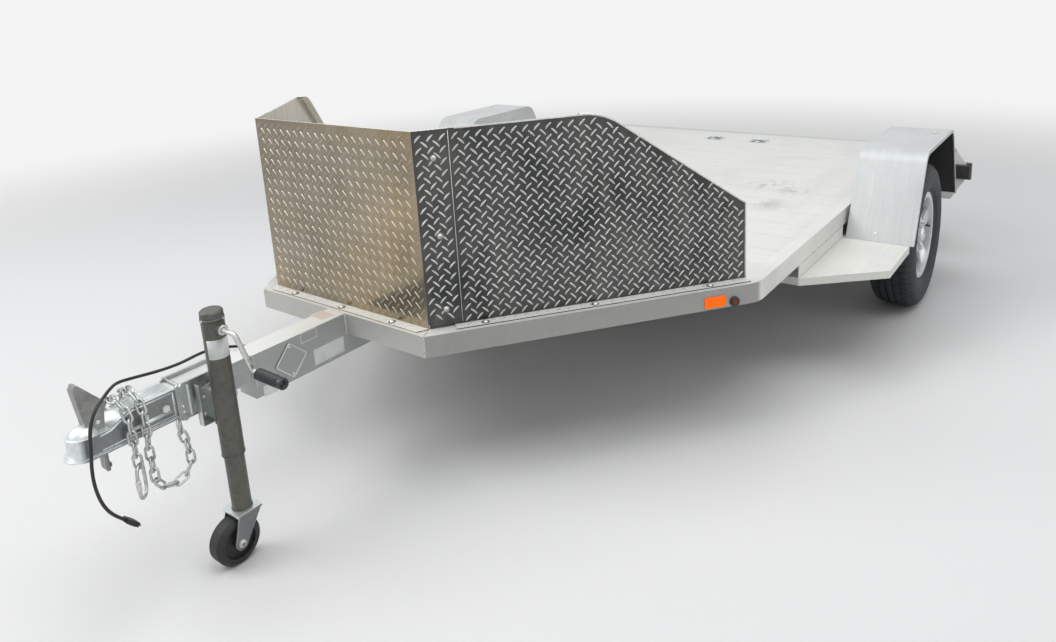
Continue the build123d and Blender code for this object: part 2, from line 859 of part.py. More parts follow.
def guard_side_profile():
    """Side panel: level top, large bend, slope and short rear edge."""
    start = guard_sheet
    points = [
        (start, 0),
        (guard_side_length, 0),
        (guard_side_length, guard_rear_height),
        (guard_level_length, guard_height),
        (start, guard_height),
    ]
    face = make_face(Polyline(*points, close=True))
    peak = [v for v in face.vertices() if abs(v.X - guard_level_length) < 1]
    return fillet(peak, guard_top_radius)


def guard_side(side):
    """Side panel with its foot on the bow rail and a return along its slope."""
    face = guard_side_profile()
    plane = guard_side_plane()
    inward = -plane.z_dir
    body = extrude(plane * face, guard_sheet, dir=inward)
    edge = face - offset(face, amount=-guard_sheet, kind=Kind.INTERSECTION)
    slope_low = guard_rear_height - 2 * guard_sheet
    window_length = guard_side_length - guard_level_length + guard_top_radius / 3
    window = Pos(guard_side_length - window_length / 2, slope_low + guard_height / 2) * Rectangle(
        window_length, guard_height
    )
    body += extrude(plane * (edge & window), guard_return, dir=inward)
    foot_start = guard_foot + guard_setback
    foot_length = guard_side_length - foot_start
    foot = Pos(foot_start + foot_length / 2, guard_sheet / 2) * Rectangle(foot_length, guard_sheet)
    body += extrude(plane * foot, guard_foot, dir=plane.z_dir)
    return body if side > 0 else mirror(body, Plane.YZ)


def tail_bracket_outline():
    """Rear view of the +X lamp bracket: wings above and below a notch for the lamp."""
    root = deck_half_width + seat_gap
    tip = deck_half_width + bracket_width
    notch = tail_lamp_inner() - seat_gap
    notch_top = lamp_z + lamp_height / 2 + seat_gap
    notch_bottom = lamp_z - lamp_height / 2 - seat_gap
    points = [
        (root, rail_bottom),
        (root, deck_height),
        (root + bracket_slant, bracket_top),
        (tip - bracket_slant, bracket_top),
        (tip, notch_top),
        (notch, notch_top),
        (notch, notch_bottom),
        (tip, notch_bottom),
        (tip - bracket_slant, bracket_bottom),
        (root + bracket_slant, bracket_bottom),
    ]
    return make_face(Polyline(*points, close=True))


def tail_bracket(side):
    """Plate across the trailer behind a fender, with a flange on the side rail."""
    outline = Pos(0, bracket_y, 0) * (Plane.XZ * tail_bracket_outline())
    plate = extrude(outline, bracket_sheet, dir=(0, 1, 0))
    flange_x = deck_half_width + seat_gap + bracket_sheet / 2
    flange_y = bracket_y + bracket_flange / 2
    flange = Pos(flange_x, flange_y, rail_bottom + rail_height / 2) * Box(
        bracket_sheet, bracket_flange, rail_height - 2 * bracket_sheet
    )
    body = plate + flange
    return body if side > 0 else mirror(body, Plane.YZ)


def tail_lamp_inner():
    """Inboard edge of the +X tail lamp."""
    return deck_half_width + bracket_width + lamp_overhang - lamp_length


def tail_lamp(side):
    """Lamp housing through the bracket's notch, with a rim behind the bracket."""
    middle_x = tail_lamp_inner() + lamp_length / 2
    start = bracket_y - lamp_ahead
    housing = Box(lamp_length, lamp_depth, lamp_height)
    housing = fillet(housing.edges().group_by(Axis.Y)[0], lens_margin)
    body = Pos(middle_x, start + lamp_depth / 2, lamp_z) * housing
    rim_y = bracket_y + bracket_sheet + seat_gap
    rim_depth = start + lamp_depth - rim_y
    body += Pos(middle_x, rim_y + rim_depth / 2, lamp_z) * Box(
        lamp_length + lens_margin, rim_depth, lamp_height + 2 * lens_margin
    )
    return body if side > 0 else mirror(body, Plane.YZ)


def tail_lens(side):
    """Red lens on a tail lamp's rear face."""
    lens = Box(lamp_length - 2 * lens_margin, lens_depth, lamp_height - lens_margin)
    lens = chamfer(lens.edges().group_by(Axis.Y)[-1], lens_margin / 2)
    y = bracket_y - lamp_ahead + lamp_depth + seat_gap + lens_depth / 2
    lens = Pos(tail_lamp_inner() + lamp_length / 2, y, lamp_z) * lens
    return lens if side > 0 else mirror(lens, Plane.YZ)


def bow_plate(along, z, length, height, thickness):
    """Flat plate on a bow rail's outer face, given by its middle."""
    x, y = bow_point(0, along)
    turn = math.degrees(bow_angle())
    return Pos(x, y, z) * Rot(0, 0, turn) * Pos(0, -thickness / 2, 0) * Box(length, thickness, height)


def side_reflector(side):
    """Amber reflector on the bow rail."""
    plate = bow_plate(
        reflector_along, reflector_z, reflector_length, reflector_height, reflector_thickness
    )
    return plate if side > 0 else mirror(plate, Plane.YZ)


def side_marker(side):
    """Small round amber marker lamp behind the reflector."""
    x, y = bow_point(0, marker_along)
    turn = math.degrees(bow_angle())
    lens = Rot(90, 0, 0) * Cylinder(marker_radius, marker_depth)
    lens = Pos(x, y, marker_z) * Rot(0, 0, turn) * Pos(0, -marker_depth / 2, 0) * lens
    return lens if side > 0 else mirror(lens, Plane.YZ)


def link(wire, length, width):
    """Welded link lying flat, its length along X: six-sided wire bent round eight corners."""
    across = (width - wire) / 2
    along = (length - wire) / 2
    cut = across * (1 - math.tan(math.radians(22.5)))
    quarter = [(along - cut, across), (along, across - cut)]
    right = quarter + [(x, -y) for x, y in reversed(quarter)]
    left = [(-x, -y) for x, y in right]
    path = Polyline((0, across), *right, *left, close=True)
    section = Plane(origin=(0, across, 0), z_dir=(1, 0, 0)) * RegularPolygon(wire / 2, 6, rotation=30)
    return sweep(section, path=path, transition=Transition.RIGHT)


def hinge_points(start, headings):
    """Where a chain's links meet: from the start, one pitch on for each rise and bearing in degrees."""
    points = [Vector(*start)]
    for rise, bearing in headings:
        level = math.cos(math.radians(rise))
        x = level * math.cos(math.radians(bearing))
        y = level * math.sin(math.radians(bearing))
        points.append(points[-1] + Vector(x, y, math.sin(math.radians(rise))) * chain_pitch)
    return points


def strand(points):
    """Links between hinge points, each leaning the other way from the last."""
    shape = link(chain_wire, link_length, link_width)
    across = Vector(0, 1, 0)
    made = []
    for index, (start, end) in enumerate(zip(points, points[1:])):
        along = (end - start).normalized()
        across = (across - along * across.dot(along)).normalized()
        lean = 45 if index % 2 else -45
        plane = Plane(origin=(start + end) / 2, x_dir=along, z_dir=across)
        made.append(plane * Rot(lean, 0, 0) * shape)
    return made


def over_coupler(bearing):
    """Headings of a chain laid over the coupler, from lip to lip."""
    rises = [90, 90, 62.5, 28.5, 0, -28.5, -62.5, -90, -90]
    return [(rise, bearing) for rise in rises]


def hook_strand():
    """Front chain's hinge points: over the coupler, then down to its hook."""
    slope = coupler_shoulder_drop / (coupler_rise_end - coupler_rise_start)
    drop = slope * (coupler_rear - coupler_rise_start - front_chain_y - link_width / 2)
    start = (-chain_x, front_chain_y, coupler_top - chain_start_drop - drop)
    return hinge_points(start, over_coupler(4) + [(-88, 90), (-88, 90)])


def loop_strand():
    """Rear chain's hinge points: over the coupler, down in a loop and up to the lip again."""
    start = (-chain_x, rear_chain_y, coupler_top - chain_start_drop)
    fall = [(-86, -90), (-90, 0), (-86, 90), (-90, 0)]
    bottom = [(-54, 90), (-18, 90), (18, 90), (54, 90)]
    rise = [(90, 0), (80, -90), (76, -90), (84, -90)]
    return hinge_points(start, over_coupler(0) + fall + bottom + rise)


def hook(hinge):
    """Oval hook ring hanging from the last link of the front chain."""
    ring = link(hook_wire, hook_length, hook_width)
    rise = (hook_wire + chain_slack) / 2
    middle = hinge - Vector(0, 0, (hook_length - hook_wire) / 2 - rise)
    return Plane(origin=middle, x_dir=(0, 0, -1), z_dir=(0, 1, 0)) * Rot(45, 0, 0) * ring


def safety_chains():
    """Two chains laid over the coupler, one with its hook."""
    front = hook_strand()
    return strand(front) + strand(loop_strand()) + [hook(front[-1])]


def cord_points():
    """Route of the lamp lead, from its grommet to the plug."""
    top = deck_height
    return [
        (-beam_width / 2 - 6, -236, top - 34),
        (-beam_width / 2 - 30, -236, top - 34),
        (-92, -262, top - 28),
        (-92, -310, top - 10),
        (-72, -362, top + 13),
        (-52, -418, top + 25),
        (-46, -478, top + 23),
        (-49, -538, top + 27),
        (-44, -598, top + 39),
        (-26, -645, top + 53),
        (6, -674, top + 61),
        (34, -704, top + 60),
        (51, -738, top + 42),
        (58, -757, top + 4),
        (60, -763, top - 44),
        (57, -769, top - 94),
        (57, -768, top - 142),
        (55, -759, top - 186),
        (53, -741, top - 224),
        (50, -716, top - 252),
    ]


def cord_path():
    """Straight runs joined by arcs as large as their runs allow."""
    points = [Vector(*point) for point in cord_points()]
    radii = []
    for before, corner, after in zip(points, points[1:], points[2:]):
        turn = (corner - before).get_angle(after - corner)
        shorter = min((corner - before).length, (after - corner).length)
        radii.append(0.45 * shorter / math.tan(math.radians(turn) / 2))
    print("cord radii", [round(radius) for radius in radii])
    return FilletPolyline(*points, radius=radii)


def wiring_cord():
    """Lamp lead as a plain round tube."""
    path = cord_path()
    start = Vector(*cord_points()[0])
    ahead = Vector(*cord_points()[1]) - start
    profile = Plane(origin=start, z_dir=ahead) * Circle(cord_diameter / 2)
    tube = sweep(profile, path=path)
    ideal = math.pi * cord_diameter**2 / 4 * path.length
    print("cord length", round(path.length), "volume ratio", round(tube.volume / ideal, 4))
    return tube


def wiring_plug():
    """Flat lamp plug on the cord's end."""
    end = Vector(*cord_points()[-1])
    along = end - Vector(*cord_points()[-2])
    plane = Plane(origin=end, x_dir=(1, 0, 0), z_dir=along)
    body = Box(plug_width, plug_thickness, plug_length)
    body = fillet(body.edges().filter_by(Axis.Z), 2)
    return plane * Pos(0, 0, plug_length / 2) * body


def wiring_grommet():
    """Grommet in the beam's side where the lead comes out."""
    x, y, z = cord_points()[0]
    length = -x - beam_width / 2
    ring = Rot(0, 90, 0) * Cylinder(cord_diameter, length)
    return Pos(x + length / 2, y, z) * ring


def jack_axis():
    return Pos(jack_x, jack_y, 0)


def jack_mount():
    """Plates clamped on both sides of the tongue tube, the near one bored for the pivot."""
    inner = tube_width / 2
    height = tube_height + 2 * mount_overhang
    middle_y = coupler_rear + mount_gap + mount_length / 2
    middle_z = deck_height - tube_height / 2
    plate = Box(plate_thickness, mount_length, height)
    plate = fillet(plate.edges().filter_by(Axis.X), mount_corner)
    near = Pos(inner + plate_thickness / 2, 0, 0) * plate
    far = Pos(-inner - plate_thickness / 2, 0, 0) * plate
    clamp = near + far
    bolt_z = tube_height / 2 + mount_bolt_radius + 2 * bolt_clearance
    for y in (mount_bolt_inset - mount_length / 2, mount_length / 2 - mount_bolt_inset):
        for z in (-bolt_z, bolt_z):
            clamp += Pos(0, y, z) * mount_bolt()
    bore_radius = pivot_radius + running_clearance
    bore = Pos(inner, jack_y, pivot_z) * Rot(0, 90, 0) * Cylinder(bore_radius, 4 * plate_thickness)
    return Pos(0, middle_y, middle_z) * clamp - bore


def mount_bolt():
    """Bolt through both clamp plates, along X, with its head and nut."""
    reach = tube_width / 2 + plate_thickness
    bolt = Rot(0, 90, 0) * Cylinder(mount_bolt_radius, 2 * reach)
    for side in (-1, 1):
        head = extrude(RegularPolygon(bolt_head_ratio * mount_bolt_radius, 6), mount_bolt_head)
        bolt += Pos(side * reach, 0, 0) * Rot(0, 90 * side, 0) * head
    return bolt


def jack_swivel():
    """Index plate with its holes and pull pin, pivot pin and saddle that carry the jack's tube."""
    start = tube_width / 2 + plate_thickness + swivel_gap
    at_pivot = Pos(start, jack_y, pivot_z) * Rot(0, 90, 0)
    plate = Pos(0, 0, plate_thickness / 2) * Cylinder(swivel_plate_radius, plate_thickness)
    pull_angle = 90 + index_angle
    for angle in (90 - index_angle, 270 - index_angle, 270 + index_angle):
        plate -= Rot(0, 0, angle) * Pos(index_circle, 0, 0) * Cylinder(
            index_hole_radius, 3 * plate_thickness
        )
    plate += Rot(0, 0, pull_angle) * Pos(index_circle, 0, plate_thickness) * pull_pin()
    pin_length = plate_thickness / 2 + swivel_gap
    pin = Pos(0, 0, -pin_length / 2) * Cylinder(pivot_radius, pin_length)
    saddle_start = start + plate_thickness
    saddle_length = jack_x - saddle_start
    saddle = Pos(saddle_start + saddle_length / 2, jack_y, pivot_z) * Box(
        saddle_length, saddle_width, saddle_height
    )
    body = at_pivot * (plate + pin) + saddle
    return body - jack_axis() * Pos(0, 0, pivot_z) * Cylinder(jack_tube_radius, 2 * saddle_height)


def pull_pin():
    """Spring housing and knob of the lock pin, standing along Z."""
    housing = Pos(0, 0, pull_pin_length / 2) * Cylinder(pull_pin_radius, pull_pin_length)
    knob = Pos(0, 0, pull_pin_length - pull_knob_length / 2) * Cylinder(
        pull_knob_radius, pull_knob_length
    )
    return housing + knob


def jack_outer_tube():
    """Jack's outer tube, open at the bottom, with the boss and hole for the crank's shaft."""
    length = jack_tube_top - jack_tube_bottom
    tube = jack_axis() * Pos(0, 0, jack_tube_bottom + length / 2) * Cylinder(jack_tube_radius, length)
    boss_length = jack_tube_radius + crank_boss_length
    tube += Pos(jack_x + boss_length / 2, jack_y, crank_z) * Rot(0, 90, 0) * Cylinder(
        crank_boss_radius, boss_length
    )
    tube -= jack_axis() * Pos(0, 0, jack_tube_bottom + length / 2) * Cylinder(
        jack_tube_radius - jack_tube_wall, length + 2
    )
    hole = Rot(0, 90, 0) * Cylinder(crank_rod_radius + crank_clearance, 2 * jack_tube_radius)
    return tube - Pos(jack_x + boss_length, jack_y, crank_z) * hole


def jack_cap():
    """Moulded cap on the tube's top."""
    disc = Cylinder(jack_tube_radius, jack_cap_height)
    disc = chamfer(disc.edges().group_by(Axis.Z)[-1], jack_cap_chamfer)
    return jack_axis() * Pos(0, 0, jack_tube_top + jack_cap_height / 2) * disc


def jack_leg():
    """Inner tube with its closed foot and the caster's kingpin."""
    length = leg_top - leg_bottom
    tube = Cylinder(leg_radius, length) - Pos(0, 0, leg_wall) * Cylinder(leg_radius - leg_wall, length)
    tube = Pos(0, 0, leg_bottom + length / 2) * tube
    pin_length = caster_plate_thickness + 1
    pin = Pos(0, 0, leg_bottom - pin_length / 2) * Cylinder(kingpin_radius, pin_length)
    nut = Pos(0, 0, leg_bottom - pin_length - kingpin_nut / 2) * Cylinder(
        kingpin_radius + kingpin_nut, kingpin_nut
    )
    return jack_axis() * (tube + pin + nut)


def crank():
    """Crank rod bent twice, from the tube out and down to the grip."""
    start = Vector(0, 0, 0)
    lean = math.radians(crank_lean)
    elbow = Vector(jack_tube_radius + crank_reach, 0, 0)
    end = elbow + Vector(0, math.sin(lean), -math.cos(lean)) * crank_arm
    tip = end + Vector(grip_length + crank_tip, 0, 0)
    path = FilletPolyline(start, elbow, end, tip, radius=crank_bend)
    profile = Plane(origin=start, z_dir=(1, 0, 0)) * Circle(crank_rod_radius)
    rod = sweep(profile, path=path)
    return Pos(jack_x, jack_y, crank_z) * rod


def crank_grip():
    """Grip over the crank's end."""
    lean = math.radians(crank_lean)
    y = jack_y + math.sin(lean) * crank_arm
    z = crank_z - math.cos(lean) * crank_arm
    x = jack_x + jack_tube_radius + crank_reach + grip_shoulder + grip_length / 2
    grip = Cylinder(grip_radius, grip_length) - Cylinder(crank_rod_radius, grip_length + 2)
    return Pos(x, y, z) * Rot(0, 90, 0) * grip


def caster_fork():
    """Swivelling fork: square plate, two cheeks and the axle bolt."""
    plate_top = leg_bottom - caster_gap
    low = plate_top - caster_plate_thickness
    plate = Pos(0, 0, plate_top - caster_plate_thickness / 2) * Box(
        caster_plate, caster_plate, caster_plate_thickness
    )
    plate = fillet(plate.edges().filter_by(Axis.Z), caster_corner)
    bore = Cylinder(kingpin_radius + running_clearance, 4 * caster_plate_thickness)
    plate -= Pos(0, 0, plate_top) * bore
    boss = Pos(-caster_trail, caster_wheel_radius) * Circle(caster_boss_radius)
    head = Pos(0, low - caster_head_depth / 2) * Rectangle(
        caster_plate - 2 * caster_head_inset, caster_head_depth
    )
    outline = make_hull((boss + head).edges())
    inner_x = caster_wheel_width / 2 + fork_gap
    body = plate
    for side in (-1, 1):
        cheek = extrude(Plane.YZ * outline, fork_sheet / 2, both=True)
        body += Pos(side * (inner_x + fork_sheet / 2), 0, 0) * cheek
    bolt_length = 2 * (inner_x + fork_sheet + caster_axle_radius)
    body += caster_axle() * Cylinder(caster_axle_radius, bolt_length)
    return jack_axis() * body


def caster_axle():
    """Middle of the caster wheel, with the axle along X."""
    return Pos(0, -caster_trail, caster_wheel_radius) * Rot(0, 90, 0)


def caster_wheel():
    """Moulded caster wheel turned from its section: hub, thinner web and chamfered tread."""
    half = caster_wheel_width / 2
    bore_radius = caster_axle_radius + running_clearance
    section = Polyline(
        (0, bore_radius),
        (half, bore_radius),
        (half, caster_hub_radius),
        (caster_web / 2, caster_hub_radius),
        (caster_web / 2, caster_rim_inner),
        (half, caster_rim_inner),
        (half, caster_wheel_radius - caster_tread_chamfer),
        (half - caster_tread_chamfer, caster_wheel_radius),
        (0, caster_wheel_radius),
        close=True,
    )
    right = make_face(section)
    wheel = revolve(Plane.XZ * (right + mirror(right, Plane.YZ)), Axis.X)
    return jack_axis() * Pos(0, -caster_trail, caster_wheel_radius) * wheel


def write(name, shapes):
    """Writes one node, moved so that the trailer is centred along Y."""
    solids = shapes if isinstance(shapes, list) else [shapes]
    moved = [Pos(0, -mid_y, 0) * shape for shape in solids]
    shape = moved[0] if len(moved) == 1 else Compound(children=moved)
    export_step(shape, "parts/" + name + ".step")


def side_name(side):
    return "left" if side > 0 else "right"


def both_sides(make):
    """Like pieces from the two sides, in one node."""
    return [make(1), make(-1)]


def build():
    nodes = dict(rails())
    nodes["deck_planks"] = deck_planks()
    nodes["deck_stringers"] = stringers()
    nodes["tongue_beam"] = tongue_beam()
    nodes["tongue_tube"] = tongue_tube()
    nodes["coupler_body"] = coupler_body()
    nodes["coupler_bolts"] = coupler_bolts()
    nodes["coupler_lever"] = coupler_lever()
    nodes["axle_beam"] = axle_tube()
    nodes["axle_hangers"] = axle_hangers()
    nodes["step_cross_tube"] = step_cross_tube()
    for side in (1, -1):
        name = side_name(side)
        nodes["tyre_" + name] = place_wheel(tyre(), side)
        nodes["rim_" + name] = place_wheel(rim(), side)
        nodes["hub_" + name] = place_wheel(hub(), side)
        nodes["fender_" + name] = fender(side)
        nodes["step_" + name] = step(side)
        nodes["guard_side_" + name] = guard_side(side)
    nodes["guard_front"] = guard_front()
    nodes["torsion_arms"] = both_sides(torsion_arm)
    nodes["tail_brackets"] = both_sides(tail_bracket)
    nodes["tail_lamps"] = both_sides(tail_lamp)
    nodes["tail_lenses"] = both_sides(tail_lens)
    nodes["side_lamps"] = both_sides(side_reflector) + both_sides(side_marker)
    nodes["safety_chains"] = safety_chains()
    nodes["wiring_cord"] = wiring_cord()
    nodes["wiring_plug"] = wiring_plug()
    nodes["wiring_grommet"] = wiring_grommet()
    nodes["jack_mount"] = jack_mount()
    nodes["jack_swivel"] = jack_swivel()
    nodes["jack_outer_tube"] = jack_outer_tube()
    nodes["jack_cap"] = jack_cap()
    nodes["jack_leg"] = jack_leg()
    nodes["jack_crank"] = crank()
    nodes["crank_grip"] = crank_grip()
    nodes["caster_fork"] = caster_fork()
    nodes["caster_wheel"] = caster_wheel()
    return nodes


os.makedirs("parts", exist_ok=True)
for node_name, node_shapes in build().items():
    write(node_name, node_shapes)
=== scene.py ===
import math

import bmesh
import bpy
from mathutils import Matrix, Vector

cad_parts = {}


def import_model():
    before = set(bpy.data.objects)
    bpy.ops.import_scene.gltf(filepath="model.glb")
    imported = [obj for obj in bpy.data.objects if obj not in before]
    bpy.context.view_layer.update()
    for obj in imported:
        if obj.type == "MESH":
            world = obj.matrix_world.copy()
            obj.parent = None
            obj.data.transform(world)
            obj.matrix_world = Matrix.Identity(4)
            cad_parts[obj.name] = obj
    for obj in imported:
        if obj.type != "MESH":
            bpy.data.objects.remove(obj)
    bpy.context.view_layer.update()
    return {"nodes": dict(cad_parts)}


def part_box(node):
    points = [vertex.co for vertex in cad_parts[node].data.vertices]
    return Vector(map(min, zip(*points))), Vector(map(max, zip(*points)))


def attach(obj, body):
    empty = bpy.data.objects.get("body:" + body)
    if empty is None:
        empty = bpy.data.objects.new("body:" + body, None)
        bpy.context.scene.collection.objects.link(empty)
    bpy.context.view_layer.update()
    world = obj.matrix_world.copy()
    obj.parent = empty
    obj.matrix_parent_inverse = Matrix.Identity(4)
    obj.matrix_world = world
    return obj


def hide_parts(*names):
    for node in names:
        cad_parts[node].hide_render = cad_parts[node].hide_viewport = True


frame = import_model()
NODES = frame["nodes"]

# ---- sizes in metres, as the CAD gives them ---------------------------------
MID_Y = 1.125                       # added to the frame's y, it gives y as the cord's points have it
DECK_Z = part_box("front_rail")[1].z
FRONT_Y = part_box("front_rail")[0].y
RAIL_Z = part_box("front_rail")[0].z
DECK_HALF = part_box("side_rail_left")[1].x
FRONT_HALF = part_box("front_rail")[1].x
BOW_LENGTH = 0.815
BOW_ANGLE = math.atan2(BOW_LENGTH, DECK_HALF - FRONT_HALF)
GUARD_INSET = 0.042
GUARD_SHEET = 0.0032
GUARD_FOOT = 0.032
SIDE_INSET = GUARD_INSET + GUARD_SHEET + 0.0004
GUARD_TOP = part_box("guard_front")[1].z - DECK_Z
WING_LAP = 0.100
SIDE_LENGTH = 0.992
LEVEL_LENGTH = 0.540
REAR_HEIGHT = 0.245
TOP_RADIUS = 0.190
BEAM_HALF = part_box("tongue_beam")[1].x
BEAM_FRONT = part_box("tongue_beam")[0].y
TUBE_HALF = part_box("tongue_tube")[1].x
TUBE_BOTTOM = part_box("tongue_tube")[0].z
JACK_X = (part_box("jack_leg")[0].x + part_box("jack_leg")[1].x) / 2
JACK_Y = (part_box("jack_cap")[0].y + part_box("jack_cap")[1].y) / 2
JACK_RADIUS = (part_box("jack_cap")[1].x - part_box("jack_cap")[0].x) / 2
COUPLER_HALF = 0.037
COUPLER_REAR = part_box("coupler_body")[1].y
COUPLER_TOP = 0.505
UP = Vector((0, 0, 1))
RIGHT = Vector((1, 0, 0))
REARWARD = Vector((0, 1, 0))
SIDES = ((1, "left"), (-1, "right"))
BOW_OUT = {side: (side * math.sin(BOW_ANGLE), -math.cos(BOW_ANGLE), 0) for side in (1, -1)}


# ---- materials --------------------------------------------------------------
def grey(value):
    return (value, value, value)


def toned(color, share):
    return tuple(value * share for value in color)


class Nodes:
    """Short calls for the nodes of one shader tree."""

    def __init__(self, owner):
        owner.use_nodes = True
        self.tree = owner.node_tree

    def plug(self, value, socket):
        if isinstance(value, bpy.types.NodeSocket):
            self.tree.links.new(value, socket)
        else:
            socket.default_value = (*value, 1) if socket.type == "RGBA" else value

    def node(self, kind, *values, operation=None, **inputs):
        """A node with its first sockets given in order and others by name."""
        made = self.tree.nodes.new("ShaderNode" + kind)
        if operation:
            made.operation = operation
        for value, socket in zip(values, made.inputs):
            self.plug(value, socket)
        for name, value in inputs.items():
            self.plug(value, made.inputs[name.replace("_", " ")])
        return made


class Look(Nodes):
    """A material with its Principled shader."""

    def __init__(self, name, color, metallic, roughness=0.5, edge=0.0, **sockets):
        self.material = bpy.data.materials.new(name + "_look")
        super().__init__(self.material)
        self.shader = self.tree.nodes["Principled BSDF"]
        sockets.update(Base_Color=color, Metallic=metallic, Roughness=roughness)
        for socket, value in sockets.items():
            self.link(value, socket.replace("_", " "))
        self.place = self.node("TexCoord").outputs["Object"]
        self.rounded = None
        if edge:
            self.rounded = self.node("Bevel", Radius=edge).outputs["Normal"]
            self.link(self.rounded, "Normal")

    def link(self, value, socket):
        self.plug(value, self.shader.inputs[socket])

    def noise(self, scale, stretch=(1, 1, 1), *, detail, rough=0.55, distortion=0.0):
        place = self.node("Mapping", Vector=self.place, Scale=stretch).outputs["Vector"]
        made = self.node("TexNoise", Vector=place, Scale=scale, Detail=detail, Roughness=rough,
                         Distortion=distortion)
        return made.outputs["Fac"]

    def cells(self, scale):
        return self.node("TexVoronoi", Vector=self.place, Scale=scale).outputs

    def ramp(self, value, start, end, low=0.0, high=1.0):
        """Low up to the start, high from the end on."""
        made = self.node("ValToRGB", Fac=value)
        for element, place, tone in zip(made.color_ramp.elements, (start, end), (low, high)):
            element.position = place
            element.color = (*grey(tone), 1)
        return made.outputs["Color"]

    def mix(self, factor, one, two):
        made = self.tree.nodes.new("ShaderNodeMix")
        made.data_type = "RGBA"
        for index, value in ((0, factor), (6, one), (7, two)):
            self.plug(value, made.inputs[index])
        return made.outputs[2]

    def along(self, direction, source=None):
        """Share of a vector, or of the surface normal, that lies along a direction."""
        vector = source or self.node("TexCoord").outputs["Normal"]
        return self.node("VectorMath", vector, direction, operation="DOT_PRODUCT").outputs["Value"]

    def facing(self, direction, low=0.80, high=0.90):
        """1 where the flat surface faces a direction."""
        return self.ramp(self.along(direction), low, high)

    def near(self, point, radius):
        """1 close to a point of the body, fading to 0 at a radius."""
        away = self.node("VectorMath", self.place, point, operation="DISTANCE").outputs["Value"]
        return self.node("MapRange", Value=away, From_Min=radius, From_Max=0.0).outputs["Result"]

    def edges(self):
        """1 on rounded edges, 0 on flats."""
        flat = self.node("NewGeometry").outputs["Normal"]
        return self.ramp(self.along(flat, self.rounded), 0.80, 0.985, 1.0, 0.0)

    def finish(self, color, rough=None, height=None, strength=0.0, distance=0.0):
        """Links the colour, the roughness and a bump."""
        self.link(color, "Base Color")
        if rough:
            self.link(rough, "Roughness")
        if height:
            made = self.node("Bump", Height=height, Strength=strength, Distance=distance)
            if self.rounded:
                self.plug(self.rounded, made.inputs["Normal"])
            self.link(made.outputs["Normal"], "Normal")
        return self.material


def mill_aluminium(name, color, streak, metallic=0.45, rough=(0.38, 0.52), depth=0.80, below=None,
                   top=None, side=None):
    """Extruded or rolled aluminium: streaks, dull patches, bright edges, and painted light and shade as a
    tone for each way a face points.
    """
    made = Look(name, color, metallic, edge=0.0012)
    lines = made.noise(9, streak, detail=8, rough=0.7)
    fine = made.noise(42, streak, detail=3)
    patches = made.noise(3.2, detail=6, rough=0.6, distortion=0.4)
    specks = made.noise(75, detail=5, rough=0.7)
    tone = made.mix(0.5, made.ramp(lines, 0.3, 0.7), made.ramp(patches, 0.3, 0.7))
    plain = made.mix(tone, toned(color, depth), color)
    # Painted light: faces pointing up get the top tone and are made less metallic.
    if top:
        plain = made.mix(made.facing(UP, 0.6, 0.8), plain, made.mix(tone, toned(top, depth), top))
        made.link(made.ramp(made.along(UP), 0.6, 0.8, metallic, 0.08), "Metallic")
    # Painted light: faces pointing along ±X get the side tone.
    if side:
        flank = made.mix(tone, toned(side, depth), side)
        for out in (RIGHT, -RIGHT):
            plain = made.mix(made.facing(out, 0.94, 0.99), plain, flank)
    # Painted shade: faces pointing down, such as the fenders' undersides, get the dark below tone.
    if below:
        plain = made.mix(made.facing(-UP, 0.15, 0.3), plain, below)
    marked = made.mix(made.ramp(specks, 0.66, 0.76, 0.0, 0.35), plain, toned(color, 0.6))
    bright = tuple(min(0.92, value * 1.22) for value in color)
    return made.finish(made.mix(made.edges(), marked, bright), made.ramp(patches, 0.3, 0.75, *rough),
                       made.mix(0.4, lines, fine), 0.14, 0.0004)


DECK_SCUFFS = (((0.62, 0.81, 0.5), 0.13), ((0.76, 0.75, 0.5), 0.10), ((0.72, 0.51, 0.5), 0.12))


def deck_aluminium():
    """Plank skins: crosswise drawing lines, scuffs and dull tyre rub."""
    made = Look("deck", (0.80, 0.80, 0.77), 0.06, edge=0.0012)
    lines = made.noise(7, (0.35, 16, 16), detail=8, rough=0.72)
    fine = made.noise(30, (0.25, 22, 22), detail=3)
    patches = made.noise(1.7, detail=7, rough=0.62, distortion=0.6)
    scuffs = made.noise(9, (1, 0.55, 1), detail=9, rough=0.72, distortion=1.8)
    rub = made.noise(2.6, (1.6, 0.16, 1), detail=6, rough=0.6)
    color = made.mix(made.ramp(lines, 0.25, 0.75), (0.73, 0.73, 0.70), (0.84, 0.84, 0.82))
    color = made.mix(made.ramp(patches, 0.48, 0.72, 0.0, 0.6), color, (0.66, 0.66, 0.63))
    color = made.mix(made.ramp(rub, 0.56, 0.74, 0.0, 0.4), color, (0.62, 0.62, 0.60))
    color = made.mix(made.ramp(scuffs, 0.63, 0.72, 0.0, 0.55), color, (0.40, 0.40, 0.385))
    scrape = made.noise(16, (1, 0.4, 1), detail=8, rough=0.7, distortion=1.2)
    scrape = made.ramp(scrape, 0.46, 0.58, 0.0, 0.7)
    for point, radius in DECK_SCUFFS:
        spot = made.mix(made.near(point, radius), grey(0.0), scrape)
        color = made.mix(spot, color, (0.42, 0.42, 0.40))
    return made.finish(color, made.ramp(patches, 0.3, 0.75, 0.55, 0.72), made.mix(0.5, lines, fine),
                       0.12, 0.0005)


